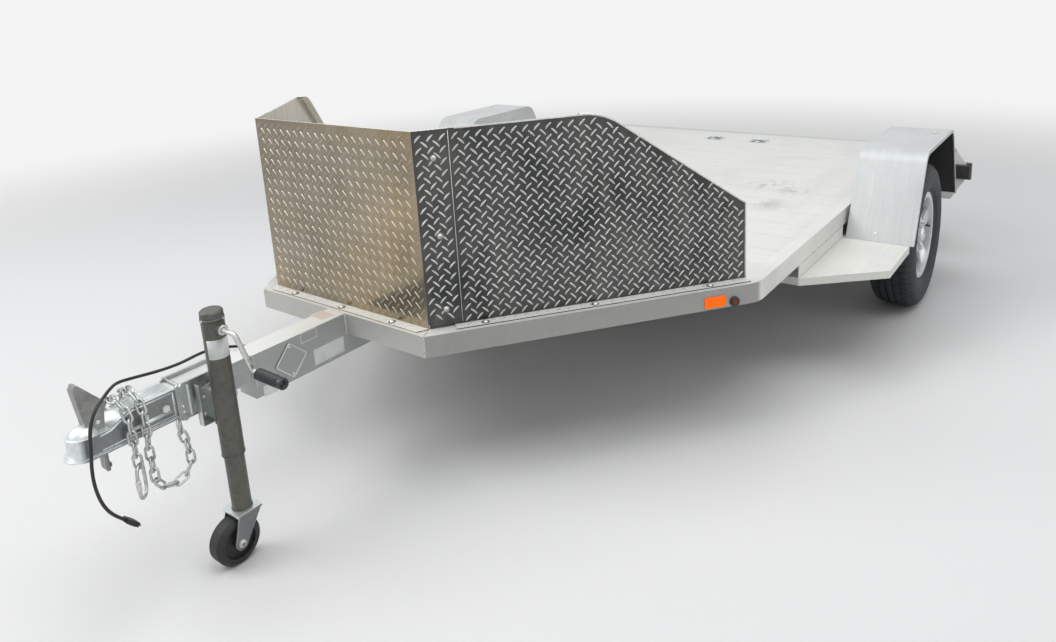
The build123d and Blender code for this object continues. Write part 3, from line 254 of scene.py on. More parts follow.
def tread_sheet():
    """Tread plate, toned by the way each face points: a warm painted reflection on the front, a dark
    painted reflection and shade on the bow sides, painted light on faces pointing up, pale facing down,
    plain inside.
    """
    made = Look("tread", grey(0.3), 0.92, edge=0.0008)
    patches = made.ramp(made.noise(4.5, detail=7, rough=0.62, distortion=0.5), 0.32, 0.68)
    smears = made.noise(7, (1, 1, 0.30), detail=8, rough=0.68, distortion=0.9)
    grain = made.noise(160, detail=2)
    lines = made.noise(12, (8, 8, 0.3), detail=6)
    warm = made.ramp(made.noise(2.4, (0.6, 1, 1), detail=5, distortion=0.6), 0.42, 0.62)
    # Painted reflection: faces pointing forward get a warm tone, as from sunlit ground.
    front = made.mix(patches, (0.225, 0.196, 0.148), (0.325, 0.286, 0.222))
    front = made.mix(warm, front, made.mix(patches, (0.280, 0.212, 0.125), (0.440, 0.345, 0.215)))
    front = made.mix(made.ramp(smears, 0.50, 0.75, 0.0, 0.5), front, (0.42, 0.385, 0.315))
    # Painted reflection and shade: faces pointing out along the bows get a dark tone.
    side = made.mix(patches, (0.045, 0.048, 0.050), (0.105, 0.106, 0.103))
    side = made.mix(made.ramp(smears, 0.48, 0.72, 0.0, 0.6), side, (0.175, 0.168, 0.150))
    sheet = made.mix(made.ramp(lines, 0.3, 0.7), (0.34, 0.312, 0.250), (0.48, 0.445, 0.365))
    sheet = made.mix(made.facing(-REARWARD), sheet, front)
    for outward in BOW_OUT.values():
        sheet = made.mix(made.facing(outward), sheet, side)
    # Painted light: faces pointing up get a pale tone; faces pointing down are also pale.
    sheet = made.mix(made.facing(UP, 0.5, 0.7), sheet, (0.88, 0.88, 0.84))
    below = made.facing(-UP, 0.35, 0.5)
    sheet = made.mix(below, sheet, (0.84, 0.82, 0.75))
    made.link(made.mix(below, made.ramp(made.along(UP), 0.5, 0.7, 0.92, 0.08), grey(0.08)), "Metallic")
    # Brighter edges: painted highlight and edge wear.
    return made.finish(made.mix(made.edges(), sheet, (0.84, 0.83, 0.80)),
                       made.ramp(grain, 0.3, 0.7, 0.17, 0.27), grain, 0.05, 0.0003)


def tread_bar(name, color, metallic):
    """Raised bars whose given colour holds painted light: painted highlight, and painted shade on one lean
    of the front.
    """
    made = Look(name, color, metallic)
    wear = made.ramp(made.noise(22, detail=5), 0.35, 0.65)
    return made.finish(made.mix(wear, toned(color, 0.72), color),
                       made.ramp(made.noise(60, detail=3), 0.3, 0.7, 0.16, 0.30))


def zinc(name, low, high, rough=(0.28, 0.44), metallic=0.75, side=1.0):
    """Zinc plate or galvanising: soft crystal patches, a dull bloom, rubbed edges, and painted shade on
    faces pointing along ±X.
    """
    made = Look(name, high, metallic, edge=0.0015)
    bloom = made.noise(14, detail=7, rough=0.65)
    stains = made.noise(28, (1, 1, 0.4), detail=8, rough=0.72)
    spangle = made.node("SeparateColor", Color=made.cells(95)["Color"]).outputs["Red"]
    tone = made.mix(0.6, made.ramp(spangle, 0.1, 0.9), made.ramp(bloom, 0.3, 0.7))
    plate = made.mix(tone, low, high)
    # Painted shade: faces pointing along ±X are darkened by the side share.
    if side < 1:
        dull = made.mix(tone, toned(low, side), toned(high, side))
        for outward in (RIGHT, -RIGHT):
            plate = made.mix(made.facing(outward, 0.80, 0.96), plate, dull)
    aged = (low[0] * 0.72, low[1] * 0.66, low[2] * 0.56)
    plate = made.mix(made.ramp(stains, 0.58, 0.74, 0.0, 0.5), plate, aged)
    bright = tuple(min(0.92, value * 1.25) for value in high)
    return made.finish(made.mix(made.edges(), plate, bright), made.ramp(bloom, 0.3, 0.72, *rough),
                       bloom, 0.12, 0.0006)


def small_zinc(name, low, high, rust=0.0):
    """Plated links, bolts and pins, with a little rust in the plating; also welds and brass."""
    made = Look(name, high, 0.85, 0.3)
    bloom = made.noise(60, detail=6, rough=0.7)
    spots = made.noise(38, detail=9, rough=0.75)
    plate = made.mix(made.ramp(bloom, 0.3, 0.7), low, high)
    return made.finish(made.mix(made.ramp(spots, 0.56, 0.70, 0.0, rust), plate, (0.22, 0.11, 0.05)),
                       made.ramp(bloom, 0.3, 0.7, 0.22, 0.40), bloom, 0.12, 0.0003)


def cast_wheel():
    """Lacquered wheel alloy with a fine grain and a little brake dust."""
    made = Look("rim", (0.84, 0.85, 0.86), 0.55, edge=0.0022)
    sparkle = made.noise(240, detail=2)
    dust = made.noise(13, detail=8, rough=0.7)
    metal = made.mix(made.ramp(sparkle, 0.3, 0.7), (0.82, 0.83, 0.84), (0.89, 0.90, 0.91))
    dusty = made.mix(made.ramp(dust, 0.60, 0.80, 0.0, 0.2), metal, (0.60, 0.59, 0.57))
    return made.finish(made.mix(made.edges(), dusty, grey(0.92)),
                       made.ramp(dust, 0.3, 0.75, 0.26, 0.36), sparkle, 0.012, 0.0001)


def tyre_rubber():
    """Black rubber with pale road dust."""
    made = Look("tyre", grey(0.022), 0.0, 0.7)
    dust = made.noise(18, detail=8, rough=0.7)
    haze = made.noise(4, detail=5)
    worn = made.mix(made.ramp(dust, 0.45, 0.8, 0.0, 0.5), (0.018, 0.021, 0.025), (0.070, 0.077, 0.084))
    return made.finish(made.mix(made.ramp(haze, 0.4, 0.75, 0.0, 0.35), worn, (0.050, 0.057, 0.064)),
                       made.ramp(dust, 0.3, 0.8, 0.50, 0.82), made.noise(260, detail=3), 0.16, 0.0005)


def moulded(name, color, rough, grain=220, bump=0.10, edge=0.001):
    """Moulded plastic or rubber with a fine grain and paler rubbed edges."""
    made = Look(name, color, 0.0, rough, edge=edge)
    speck = made.noise(grain, detail=3)
    dust = made.noise(24, detail=7, rough=0.7)
    tone = made.mix(made.ramp(speck, 0.3, 0.7), toned(color, 0.7), color)
    dusty = made.mix(made.ramp(dust, 0.5, 0.8, 0.0, 0.35), tone, tuple(v * 1.5 + 0.03 for v in color))
    rubbed = made.mix(made.edges(), dusty, tuple(v * 2 + 0.03 for v in color))
    return made.finish(rubbed, None, speck, bump, 0.0004)


MARKER_Y = -0.400                   # the round side markers start behind this


def lens(name, color, scale, marker=None, painted_glow=0.0):
    """Plastic lens with a moulded prism pattern; the round markers behind the reflectors are darker; a glow
    strength above 0 makes the lens glow as painted light.
    """
    made = Look(name, color, 0.0, 0.35, Specular_IOR_Level=0.2, Emission_Strength=painted_glow)
    distance = made.cells(scale)["Distance"]
    plain = made.mix(made.ramp(distance, 0.0, 0.6), color, toned(color, 0.78))
    if marker:
        y = made.node("SeparateXYZ", Vector=made.place).outputs["Y"]
        rear = made.node("MapRange", Value=y, From_Min=MARKER_Y, From_Max=MARKER_Y + 0.002)
        plain = made.mix(rear.outputs["Result"], plain, marker)
    # The lens colour glows at the given strength: painted light, as no lamp is lit.
    made.link(plain, "Emission Color")
    return made.finish(plain, None, distance, 0.2, 0.0008)


def painted_black():
    """Black axle paint, dulled and chipped."""
    made = Look("axle_paint", grey(0.03), 0.2, 0.45, edge=0.0015)
    wear = made.noise(25, detail=9, rough=0.75)
    paint = made.mix(made.ramp(wear, 0.6, 0.7), (0.025, 0.025, 0.027), (0.09, 0.08, 0.07))
    return made.finish(made.mix(made.edges(), paint, (0.14, 0.12, 0.10)),
                       made.ramp(wear, 0.3, 0.7, 0.35, 0.65), wear, 0.12, 0.0005)


def film(name, color, stain, strength=0.5):
    """Blank weathered label film."""
    made = Look(name, color, 0.0, 0.4, Coat_Weight=0.2)
    marks = made.noise(35, detail=8, rough=0.7)
    scratches = made.noise(60, (1, 0.1, 1), detail=4)
    aged = made.mix(made.ramp(marks, 0.42, 0.78, 0.0, strength), color, stain)
    return made.finish(made.mix(made.ramp(scratches, 0.62, 0.72, 0.0, 0.4), aged, stain),
                       None, marks, 0.05, 0.0003)


LENGTHWISE, CROSSWISE = (14, 0.25, 14), (0.25, 14, 14)
LOOKS = {
    # top and side give faces pointing up and along ±X a painted light tone; the base colour tones the other
    # faces.
    "rail_y": mill_aluminium("rail_y", (0.415, 0.415, 0.40), LENGTHWISE, top=(0.86, 0.86, 0.82),
                             side=(0.90, 0.90, 0.86)),
    "rail_x": mill_aluminium("rail_x", (0.60, 0.60, 0.56), CROSSWISE, top=(0.84, 0.84, 0.80)),
    "rail_rear": mill_aluminium("rail_rear", (0.60, 0.60, 0.57), CROSSWISE, top=(0.66, 0.66, 0.64)),
    "beam": mill_aluminium("beam", (0.455, 0.465, 0.465), LENGTHWISE, 0.40, top=(0.88, 0.88, 0.85)),
    "tube": mill_aluminium("tube", (0.44, 0.46, 0.46), LENGTHWISE, 0.45, top=(0.86, 0.88, 0.87)),
    "deck": deck_aluminium(),
    # below gives the fenders' undersides a near-black painted shade.
    "sheet": mill_aluminium("fender", (0.62, 0.645, 0.645), (26, 0.5, 0.5), 0.35, (0.38, 0.52), 0.68,
                            below=grey(0.05), top=(0.68, 0.71, 0.71)),
    "hem": mill_aluminium("hem", (0.84, 0.85, 0.85), grey(0.5), 0.40),
    "bracket": mill_aluminium("bracket", (0.80, 0.80, 0.77), (0.5, 0.5, 14), 0.30),
    "step": mill_aluminium("step", (0.84, 0.835, 0.79), (16, 0.3, 14), 0.15, (0.42, 0.56), 0.80,
                           side=(0.92, 0.92, 0.88)),
    "tread": tread_sheet(),
    # Bar colours hold painted light: one lean of the front bars lit, the other shaded, the side bars
    # glinting, the foot bars lit.
    "bar_front_lit": tread_bar("bar_front_lit", (0.78, 0.72, 0.61), 0.45),
    "bar_front_shaded": tread_bar("bar_front_shaded", (0.40, 0.365, 0.29), 0.75),
    "bar_side_glint": tread_bar("bar_side_glint", (0.66, 0.665, 0.65), 0.60),
    "bar_foot_lit": tread_bar("bar_foot_lit", (0.88, 0.88, 0.84), 0.15),
    # side below 1 darkens faces pointing along ±X: painted shade.
    "zinc": zinc("zinc", (0.66, 0.71, 0.71), (0.84, 0.90, 0.90), side=0.28),
    "zinc_bright": zinc("zinc_bright", (0.74, 0.79, 0.79), (0.86, 0.90, 0.90), (0.30, 0.42), 0.45),
    "zinc_side": zinc("zinc_side", (0.46, 0.49, 0.475), (0.66, 0.70, 0.685), side=0.66),
    "zinc_dull": zinc("zinc_dull", (0.095, 0.093, 0.081), (0.148, 0.146, 0.126), (0.36, 0.52), 0.35),
    "jack_cap": zinc("jack_cap", (0.090, 0.090, 0.080), (0.150, 0.150, 0.135), (0.45, 0.60), 0.1),
    "lever": zinc("lever", (0.22, 0.225, 0.215), (0.36, 0.365, 0.35), (0.32, 0.48), 0.6),
    "chain": small_zinc("chain", (0.34, 0.35, 0.345), (0.70, 0.73, 0.72), 0.30),
    "bolt": small_zinc("bolt", (0.54, 0.535, 0.51), (0.80, 0.80, 0.78), 0.12),
    "washer": small_zinc("washer", (0.10, 0.10, 0.095), (0.20, 0.20, 0.19), 0.2),
    "weld": small_zinc("weld", (0.50, 0.50, 0.49), (0.72, 0.72, 0.70)),
    "rim": cast_wheel(),
    "hub": small_zinc("hub", (0.66, 0.67, 0.67), (0.85, 0.86, 0.87)),
    "tyre": tyre_rubber(),
    "black": moulded("black_plastic", grey(0.022), 0.42),
    "grip": moulded("grip", (0.026, 0.029, 0.034), 0.36, 90, 0.2),
    "roller": moulded("roller", grey(0.026), 0.6, 60, 0.2),
    "cord": moulded("cord", grey(0.022), 0.45, 300, 0.08, 0),
    # amber glows at strength 0.58: painted light.
    "amber": lens("amber", (0.98, 0.150, 0.001), 260, (0.16, 0.022, 0.008), 0.58),
    "red": lens("red", (0.62, 0.012, 0.012), 220),
    "axle": painted_black(),
    "label": film("label", (0.78, 0.79, 0.79), (0.48, 0.48, 0.46)),
    "faded": film("faded_label", (0.72, 0.60, 0.54), (0.66, 0.62, 0.58), 0.7),
    "brass": small_zinc("brass", (0.42, 0.30, 0.12), (0.62, 0.46, 0.20)),
}

NODE_LOOKS = {
    "rail_x": "front_rail step_cross_tube",
    "rail_y": "side_rail_left side_rail_right deck_stringers axle_hangers",
    "rail_rear": "rear_rail",
    "deck": "deck_planks",
    "tread": "guard_front guard_side_left guard_side_right",
    "beam": "tongue_beam",
    "tube": "tongue_tube",
    "zinc": "coupler_body caster_fork",
    "bolt": "coupler_bolts jack_crank",
    "lever": "coupler_lever",
    "axle": "axle_beam torsion_arms",
    "rim": "rim_left rim_right",
    "hub": "hub_left hub_right",
    "tyre": "tyre_left tyre_right",
    "sheet": "fender_left fender_right",
    "step": "step_left step_right",
    "bracket": "tail_brackets",
    "black": "tail_lamps wiring_plug wiring_grommet",
    "red": "tail_lenses",
    "amber": "side_lamps",
    "chain": "safety_chains",
    "cord": "wiring_cord",
    "zinc_side": "jack_mount jack_swivel",
    "zinc_dull": "jack_outer_tube jack_leg",
    "jack_cap": "jack_cap",
    "grip": "crank_grip",
    "roller": "caster_wheel",
}


def dress_nodes():
    for look, names in NODE_LOOKS.items():
        for name in names.split():
            mesh = NODES[name].data
            mesh.materials.clear()
            mesh.materials.append(LOOKS[look])


# ---- mesh tools -------------------------------------------------------------
def put(name, data):
    """A new object in the scene."""
    obj = bpy.data.objects.new(name, data)
    bpy.context.scene.collection.objects.link(obj)
    return obj


def axes(x, y, z, origin):
    """Placement with these local axes at an origin."""
    place = Matrix((x, y, z)).transposed().to_4x4()
    place.translation = Vector(origin)
    return place


def facing(point, normal):
    """Placement whose local Z is the normal and whose origin is the point."""
    z = Vector(normal).normalized()
    side = UP.cross(z)
    x = side.normalized() if side.length > 1e-6 else RIGHT
    return axes(x, z.cross(x), z, point)


def side_place(x, y, z):
    """Placement on the +X or -X side of the tongue, its local Y up and its local Z outwards."""
    side = 1 if x > 0 else -1
    return axes(side * REARWARD, UP, side * RIGHT, (x, y, z))


def moved(place, x=0.0, y=0.0, z=0.0):
    return place @ Matrix.Translation((x, y, z))


def arc(radius, steps, start=0.0, turn=math.tau):
    """Points on a circle at even steps; a full turn leaves out its end, which is its start."""
    angles = [start + turn * index / steps for index in range(steps + (turn != math.tau))]
    return [(radius * math.cos(angle), radius * math.sin(angle)) for angle in angles]


def rectangle(width, height, radius, steps=3):
    """Outline of a rectangle with rounded corners, centred on the origin."""
    points = []
    for corner, (sx, sy) in enumerate(((1, 1), (-1, 1), (-1, -1), (1, -1))):
        middle = sx * (width / 2 - radius), sy * (height / 2 - radius)
        bend = arc(radius, steps, math.pi / 2 * corner, math.pi / 2)
        points += [(middle[0] + x, middle[1] + y) for x, y in bend]
    return points


def rings_along(points, radius, sides, closed, ripple):
    """Rings of points across a path, without twist from one to the next."""
    count = len(points)
    rings = []
    normal = None
    for index, point in enumerate(points):
        before = points[index - 1] if index or closed else point
        after = points[(index + 1) % count] if index < count - 1 or closed else point
        along = (after - before).normalized()
        if normal is None:
            normal = along.orthogonal()
        normal = (normal - along * normal.dot(along)).normalized()
        side = along.cross(normal)
        ring = arc(radius * (1 + ripple * (index % 2)), sides)
        rings.append([point + normal * x + side * y for x, y in ring])
    return rings


class Batch:
    """Gathers many small shapes into one mesh."""

    def __init__(self):
        self.verts = []
        self.faces = []
        self.smooth = []

    def add(self, verts, faces, place=None, smooth=False):
        start = len(self.verts)
        self.verts += [place @ Vector(v) if place else Vector(v) for v in verts]
        self.faces += [[start + index for index in face] for face in faces]
        self.smooth += [smooth] * len(faces)

    def turned(self, profile, sides, place, smooth=True, closed=False):
        """Turns (radius, height) points about local Z. A radius of 0 closes an end."""
        verts, rows = [], []
        for radius, height in profile:
            ring = arc(radius, sides) if radius > 0 else [(0, 0)]
            rows.append(range(len(verts), len(verts) + len(ring)))
            verts += [(x, y, height) for x, y in ring]
        if closed:
            rows.append(rows[0])
        faces = []
        for low, high in zip(rows, rows[1:]):
            for index in range(sides):
                after = (index + 1) % sides
                if len(low) == 1:
                    faces.append((low[0], high[after], high[index]))
                elif len(high) == 1:
                    faces.append((low[index], low[after], high[0]))
                else:
                    faces.append((low[index], low[after], high[after], high[index]))
        self.add(verts, faces, place, smooth)

    def disc(self, radius, height, sides, place):
        self.turned([(radius, 0), (radius, height), (0, height)], sides, place, smooth=False)

    def box(self, place, size, cut=0.0006, segments=2):
        """Box with rounded edges, centred on its placement."""
        made = bmesh.new()
        bmesh.ops.create_cube(made, size=1.0, matrix=Matrix.Diagonal((*size, 1)))
        bmesh.ops.bevel(made, geom=made.edges[:], offset=cut, segments=segments, profile=0.5,
                        affect="EDGES")
        made.verts.index_update()
        faces = [[v.index for v in f.verts] for f in made.faces]
        self.add([tuple(v.co) for v in made.verts], faces, place)
        made.free()

    def rod(self, points, radius, sides, closed=False, ripple=0.0):
        """Round rod along a path of points, capped unless it is closed; ripple makes it a weld bead."""
        points = [Vector(point) for point in points]
        count = len(points)
        rings = rings_along(points, radius, sides, closed, ripple)
        verts = [vert for ring in rings for vert in ring]
        faces = []
        for index in range(count if closed else count - 1):
            low, high = index * sides, (index + 1) % count * sides
            twist = 0
            if closed and index == count - 1:
                twist = min(range(sides), key=lambda step: (rings[-1][0] - rings[0][step]).length)
            for step in range(sides):
                after = (step + 1) % sides
                faces.append((low + step, low + after, high + (after + twist) % sides,
                              high + (step + twist) % sides))
        if not closed:
            faces += [tuple(reversed(range(sides))), tuple(range(len(verts) - sides, len(verts)))]
        self.add(verts, faces, smooth=True)

    def plate(self, place, outline, thickness, hole=None):
        """Flat plate from an outline in local X and Y, with an optional hole of as many points."""
        count = len(outline)
        inner = hole or []
        verts = [(x, y, z) for z in (0, thickness) for x, y in outline + inner]
        level = count + len(inner)
        faces = [(i, (i + 1) % count, level + (i + 1) % count, level + i) for i in range(count)]
        if hole:
            for i in range(count):
                j = (i + 1) % count
                faces.append((count + j, count + i, level + count + i, level + count + j))
                faces.append((level + i, level + j, level + count + j, level + count + i))
                faces.append((j, i, count + i, count + j))
        else:
            faces += [tuple(reversed(range(count))), tuple(range(level, level + count))]
        self.add(verts, faces, place)

    def piece(self, name, body, look, slot=None):
        mesh = bpy.data.meshes.new(name)
        mesh.from_pydata(self.verts, [], self.faces)
        mesh.polygons.foreach_set("use_smooth", self.smooth)
        mesh.update()
        obj = put(name, mesh)
        mesh.materials.append(LOOKS[look])
        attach(obj, body)
        return obj


def button_bolt(batch, under, place):
    """Dome-headed bolt with a socket, on a washer of its own mesh."""
    radius, height, washer, base = 0.0080, 0.0050, 0.0115, 0.0012
    under.disc(washer, base, 20, place)
    dome = [(radius * x, base + height * y) for x, y in arc(1.0, 5, 0.0, math.pi / 2)[:-1]]
    top = base + height
    floor_z = top - height * 0.5
    socket = [(radius * 0.33, top), (radius * 0.30, floor_z), (0, floor_z)]
    batch.turned(dome + socket, 18, place)


def hex_bolt(batch, place, size, height, washer):
    """Hexagon head on a washer, with its top edge turned down."""
    base = 0.0016
    top = base + height
    batch.disc(washer, base, 24, place)
    batch.turned([(size, base), (size, base + height * 0.8), (size * 0.86, top), (0, top)],
                 6, place, smooth=False)


def rivet(batch, place, radius, height):
    profile = [(radius, 0), (radius * 0.92, height * 0.5), (radius * 0.6, height * 0.9), (0, height)]
    batch.turned(profile, 14, place)


RIPPLE_PITCH = 0.0022


def weld(batch, start, end, radius):
    """Rippled bead half sunk in a joint."""
    start, end = Vector(start), Vector(end)
    count = max(4, int((end - start).length / RIPPLE_PITCH))
    points = [start.lerp(end, index / count) for index in range(count + 1)]
    batch.rod(points, radius, 8, ripple=0.22)


# ---- tread plate ------------------------------------------------------------
BAR_PITCH = 0.0330                  # between bars of one row; the next row lies half a pitch up and along
BAR_LENGTH = 0.0134                 # half
BAR_WIDTH = 0.0030                  # half
BAR_HEIGHT = 0.0014
BAR_BOW = 0.0011                    # how far a bar's middle bows to one side
BAR_POINTS = 10
BAR_RINGS = ((1.0, 1.0, -0.0001), (0.90, 0.72, BAR_HEIGHT * 0.72), (0.62, 0.30, BAR_HEIGHT))


def bar_shape():
    """One raised bar: a slightly bowed, pointed lens with a rounded crest."""
    verts = []
    for long, wide, high in BAR_RINGS:
        for x, y in arc(1.0, BAR_POINTS):
            bow = BAR_BOW * (1 - (long * x) ** 2)
            verts.append((BAR_LENGTH * long * x, BAR_WIDTH * wide * y + bow, high))
    faces = []
    for low in (0, BAR_POINTS):
        high = low + BAR_POINTS
        for i in range(BAR_POINTS):
            j = (i + 1) % BAR_POINTS
            faces.append((low + i, low + j, high + j, high + i))
    faces.append(tuple(range(2 * BAR_POINTS, 3 * BAR_POINTS)))
    return verts, faces


def tread_field(batches, origin, along, up, size, keep):
    """Fills a flat field with rows of bars that lean right and left in turn, where keep(u, v) allows."""
    verts, faces = bar_shape()
    normal = along.cross(up)
    for row in range(int(2 * size[1] / BAR_PITCH) + 1):
        odd = row % 2
        lean = math.radians(-45 if odd else 45)
        x = along * math.cos(lean) + up * math.sin(lean)
        for column in range(int(size[0] / BAR_PITCH) + 1):
            u = (column + 0.5 + 0.5 * odd) * BAR_PITCH
            v = (row + 1) * BAR_PITCH / 2
            if keep(u, v):
                place = axes(x, normal.cross(x), normal, origin + along * u + up * v)
                batches[odd].add(verts, faces, place, smooth=True)


def bow_point(inset, along, side, up):
    """Point beside a bow rail, measured along it from the front corner."""
    corner = FRONT_HALF - inset * math.tan(BOW_ANGLE / 2)
    x = corner + along * math.cos(BOW_ANGLE)
    return Vector((side * x, FRONT_Y + inset + along * math.sin(BOW_ANGLE), up))


def bow_along(side):
    return Vector((side * math.cos(BOW_ANGLE), math.sin(BOW_ANGLE), 0))


def side_top(along):
    """Height of a side panel's top edge above the deck."""
    slope = (GUARD_TOP - REAR_HEIGHT) / (SIDE_LENGTH - LEVEL_LENGTH)
    tangent = TOP_RADIUS * math.tan(math.atan(slope) / 2)
    start = LEVEL_LENGTH - tangent
    end = LEVEL_LENGTH + tangent * math.cos(math.atan(slope))
    if along <= start:
        return GUARD_TOP
    if along >= end:
        return GUARD_TOP - slope * (along - LEVEL_LENGTH)
    return GUARD_TOP - TOP_RADIUS + math.sqrt(TOP_RADIUS**2 - (along - start) ** 2)


MARGIN = 0.0115                     # plain border of a panel
FOOT_BARS = BAR_PITCH * 0.6         # bars of a foot start no further in than this


def front_bars():
    """Bars on the front panel and on its wings, and bright rods on the wings' lap edges as painted
    highlight; on the front, bars of one lean get painted shade, the others painted highlight.
    """
    dull, bright, wings, foot, lap = Batch(), Batch(), Batch(), Batch(), Batch()
    low = bow_point(GUARD_INSET, 0, -1, DECK_Z)
    width = -2 * low.x
    # Rows of one lean get the shaded bar colour and the others the lit one: painted shade and highlight.
    tread_field((dull, bright), low, RIGHT, UP, (width, GUARD_TOP),
                lambda u, v: MARGIN < u < width - MARGIN and MARGIN < v < GUARD_TOP - MARGIN)
    foot_start = Vector((low.x, FRONT_Y + GUARD_INSET - GUARD_FOOT, DECK_Z + GUARD_SHEET))
    tread_field((foot, foot), foot_start, RIGHT, REARWARD, (width, GUARD_FOOT),
                lambda u, v: GUARD_FOOT < u < width - GUARD_FOOT and v < FOOT_BARS)
    for side, _ in SIDES:
        along = bow_along(side)
        origin = bow_point(GUARD_INSET, 0, side, DECK_Z)
        edge = bow_point(GUARD_INSET, WING_LAP - 0.0008, side, DECK_Z)
        # A bright rod along each wing's lap edge: a painted highlight.
        lap.rod([edge + UP * 0.012, edge + UP * (GUARD_TOP - 0.006)], 0.0009, 6)
        if side < 0:
            origin += along * WING_LAP
            along = -along
        tread_field((wings, wings), origin, along, UP, (WING_LAP, GUARD_TOP),
                    lambda u, v: MARGIN < u < WING_LAP - MARGIN / 2 and 2 * MARGIN < v < GUARD_TOP - MARGIN)
    dull.piece("guard_front_bars_shaded", "frame", "bar_front_shaded", "tread_plate")
    bright.piece("guard_front_bars", "frame", "bar_front_lit", "tread_plate")
    wings.piece("guard_wing_bars", "frame", "bar_side_glint", "tread_plate")
    foot.piece("guard_foot_bars", "frame", "bar_foot_lit", "tread_plate")
    lap.piece("guard_lap_edge_highlights", "frame", "bar_foot_lit", "tread_plate")


EDGE_RADIUS = 0.0023


def side_bars(side, name):
    """Bars on one side panel and on its foot, and a bright rod along the panel's top edge as painted
    highlight.
    """
    panel, foot, edge = Batch(), Batch(), Batch()
    along = bow_along(side)
    out = Vector(BOW_OUT[side])
    origin = bow_point(SIDE_INSET, 0, side, DECK_Z)
    foot_origin = origin + out * (GUARD_FOOT - 0.002) + UP * GUARD_SHEET
    inside = origin - out * 0.5 * GUARD_SHEET
    steps = [SIDE_LENGTH * index / 60 for index in range(7, 60)] + [SIDE_LENGTH - 0.0024]
    # A bright rod along the top edge: a painted highlight.
    border = [inside + along * step + UP * (side_top(step) - 0.0024) for step in steps]
    edge.rod(border + [inside + along * steps[-1] + UP * 0.006], EDGE_RADIUS, 8)
    start = 0.0
    if side < 0:
        origin += along * SIDE_LENGTH
        foot_origin += along * SIDE_LENGTH
        along = -along
        start = SIDE_LENGTH

    def on_panel(u, v):
        place = abs(u - start)
        return WING_LAP + 0.008 < place < SIDE_LENGTH - MARGIN and 0.014 < v < side_top(place) - MARGIN

    def on_foot(u, v):
        return WING_LAP - MARGIN < abs(u - start) < SIDE_LENGTH - MARGIN and v < FOOT_BARS

    tread_field((panel, panel), origin, along, UP, (SIDE_LENGTH, GUARD_TOP), on_panel)
    tread_field((foot, foot), foot_origin, along, -out, (SIDE_LENGTH, BAR_PITCH), on_foot)
    panel.piece("guard_side_bars_" + name, "frame", "bar_side_glint", "tread_plate")
    foot.piece("guard_foot_bars_" + name, "frame", "bar_foot_lit", "tread_plate")
    edge.piece("guard_top_edge_highlight_" + name, "frame", "bar_foot_lit", "tread_plate")


FRONT_BOLT_X = (-0.229, -0.002, 0.219)
FOOT_BOLTS = (0.16, 0.49, 0.86)     # along each bow
WING_BOLTS = (0.055, 0.27, 0.49)    # above the deck
BOLT_INSET = 0.018                  # from a panel's outer face to its foot's bolts
WING_BOLT_ALONG = 0.055             # from the guard's corner
GUARD_NUT = (0.0075, 0.006, 0.010)  # half width, height and washer's radius


def guard_bolts():
    """Bolts through the feet and through the wings' laps, with nuts inside."""
    batch, washers = Batch(), Batch()
    foot_top = DECK_Z + GUARD_SHEET
    for x in FRONT_BOLT_X:
        button_bolt(batch, washers, facing((x, FRONT_Y + GUARD_INSET - BOLT_INSET, foot_top), UP))
    for side, _ in SIDES:
        out = Vector(BOW_OUT[side])
        for along in FOOT_BOLTS:
            point = bow_point(SIDE_INSET, along, side, foot_top) + out * BOLT_INSET
            button_bolt(batch, washers, facing(point, UP))
        for height in WING_BOLTS:
            point = bow_point(GUARD_INSET, WING_BOLT_ALONG, side, DECK_Z + height)
            button_bolt(batch, washers, facing(point, out))
            inside = point - out * (2 * GUARD_SHEET + 0.0004)
            hex_bolt(batch, facing(inside, -out), *GUARD_NUT)
    batch.piece("guard_bolts", "frame", "bolt", "bolt_steel")
    washers.piece("guard_washers", "frame", "washer", "bolt_steel")


# ---- tyres and wheels -------------------------------------------------------
BEAD_RADIUS = 0.165
FLANGE_RADIUS = 0.182
GROOVES = (0.013, 0.042)            # middles, from the tyre's middle
TREAD_STEPS = 21
PITCHES, PITCH_STEPS = 64, 6        # blocks round the tyre, and steps of each
TYRE_WALL = (                       # (inset from the side, drop from the crown, tread share)
    (0.016, 0.013, 0.9), (0.008, 0.024, 0.6), (0.0045, 0.034, 0.0), (0.0028, 0.0405, 0.0),
    (0.0022, 0.041, 0.0), (0.0018, 0.047, 0.0), (0.0024, 0.0475, 0.0), (0.0008, 0.058, 0.0),
    (0.0, 0.070, 0.0), (0.0025, 0.082, 0.0), (0.0050, 0.092, 0.0), (0.0080, 0.100, 0.0),
    (0.0100, 0.1035, 0.0), (0.0092, 0.1045, 0.0), (0.0125, 0.108, 0.0), (0.0165, 0.114, 0.0),
)


def tyre_profile(radius, half_width):
    """Half profile from crown to bead as (across, radius, tread share) points."""
    tread_half = half_width - 0.026
    points = []
    for index in range(TREAD_STEPS + 1):
        across = tread_half * index / TREAD_STEPS
        crown = radius - 0.005 * (across / tread_half) ** 2
        deep = any(abs(across - groove) < 0.0032 for groove in GROOVES)
        points.append((across, crown - (0.0075 if deep else 0), 0.0 if deep else 1.0))
    points += [(half_width - inset, radius - drop, share) for inset, drop, share in TYRE_WALL]
    seat = half_width - 0.0258
    lip = half_width - 0.0205
    return points + [(lip, FLANGE_RADIUS + 0.0015, 0.0), (seat, FLANGE_RADIUS + 0.0008, 0.0),
                     (seat, BEAD_RADIUS + 0.001, 0.0)]


def block_cut(across, phase, share):
    """How deep a cross groove of the tread is at a place; outer ones are offset from the middle ones."""
    slant = 2 if across > 0.03 else (4 if across < -0.03 else 0)
    cut = (phase + slant) % PITCH_STEPS == 0 and abs(across) > 0.014
    return 0.006 * share if cut else 0.0


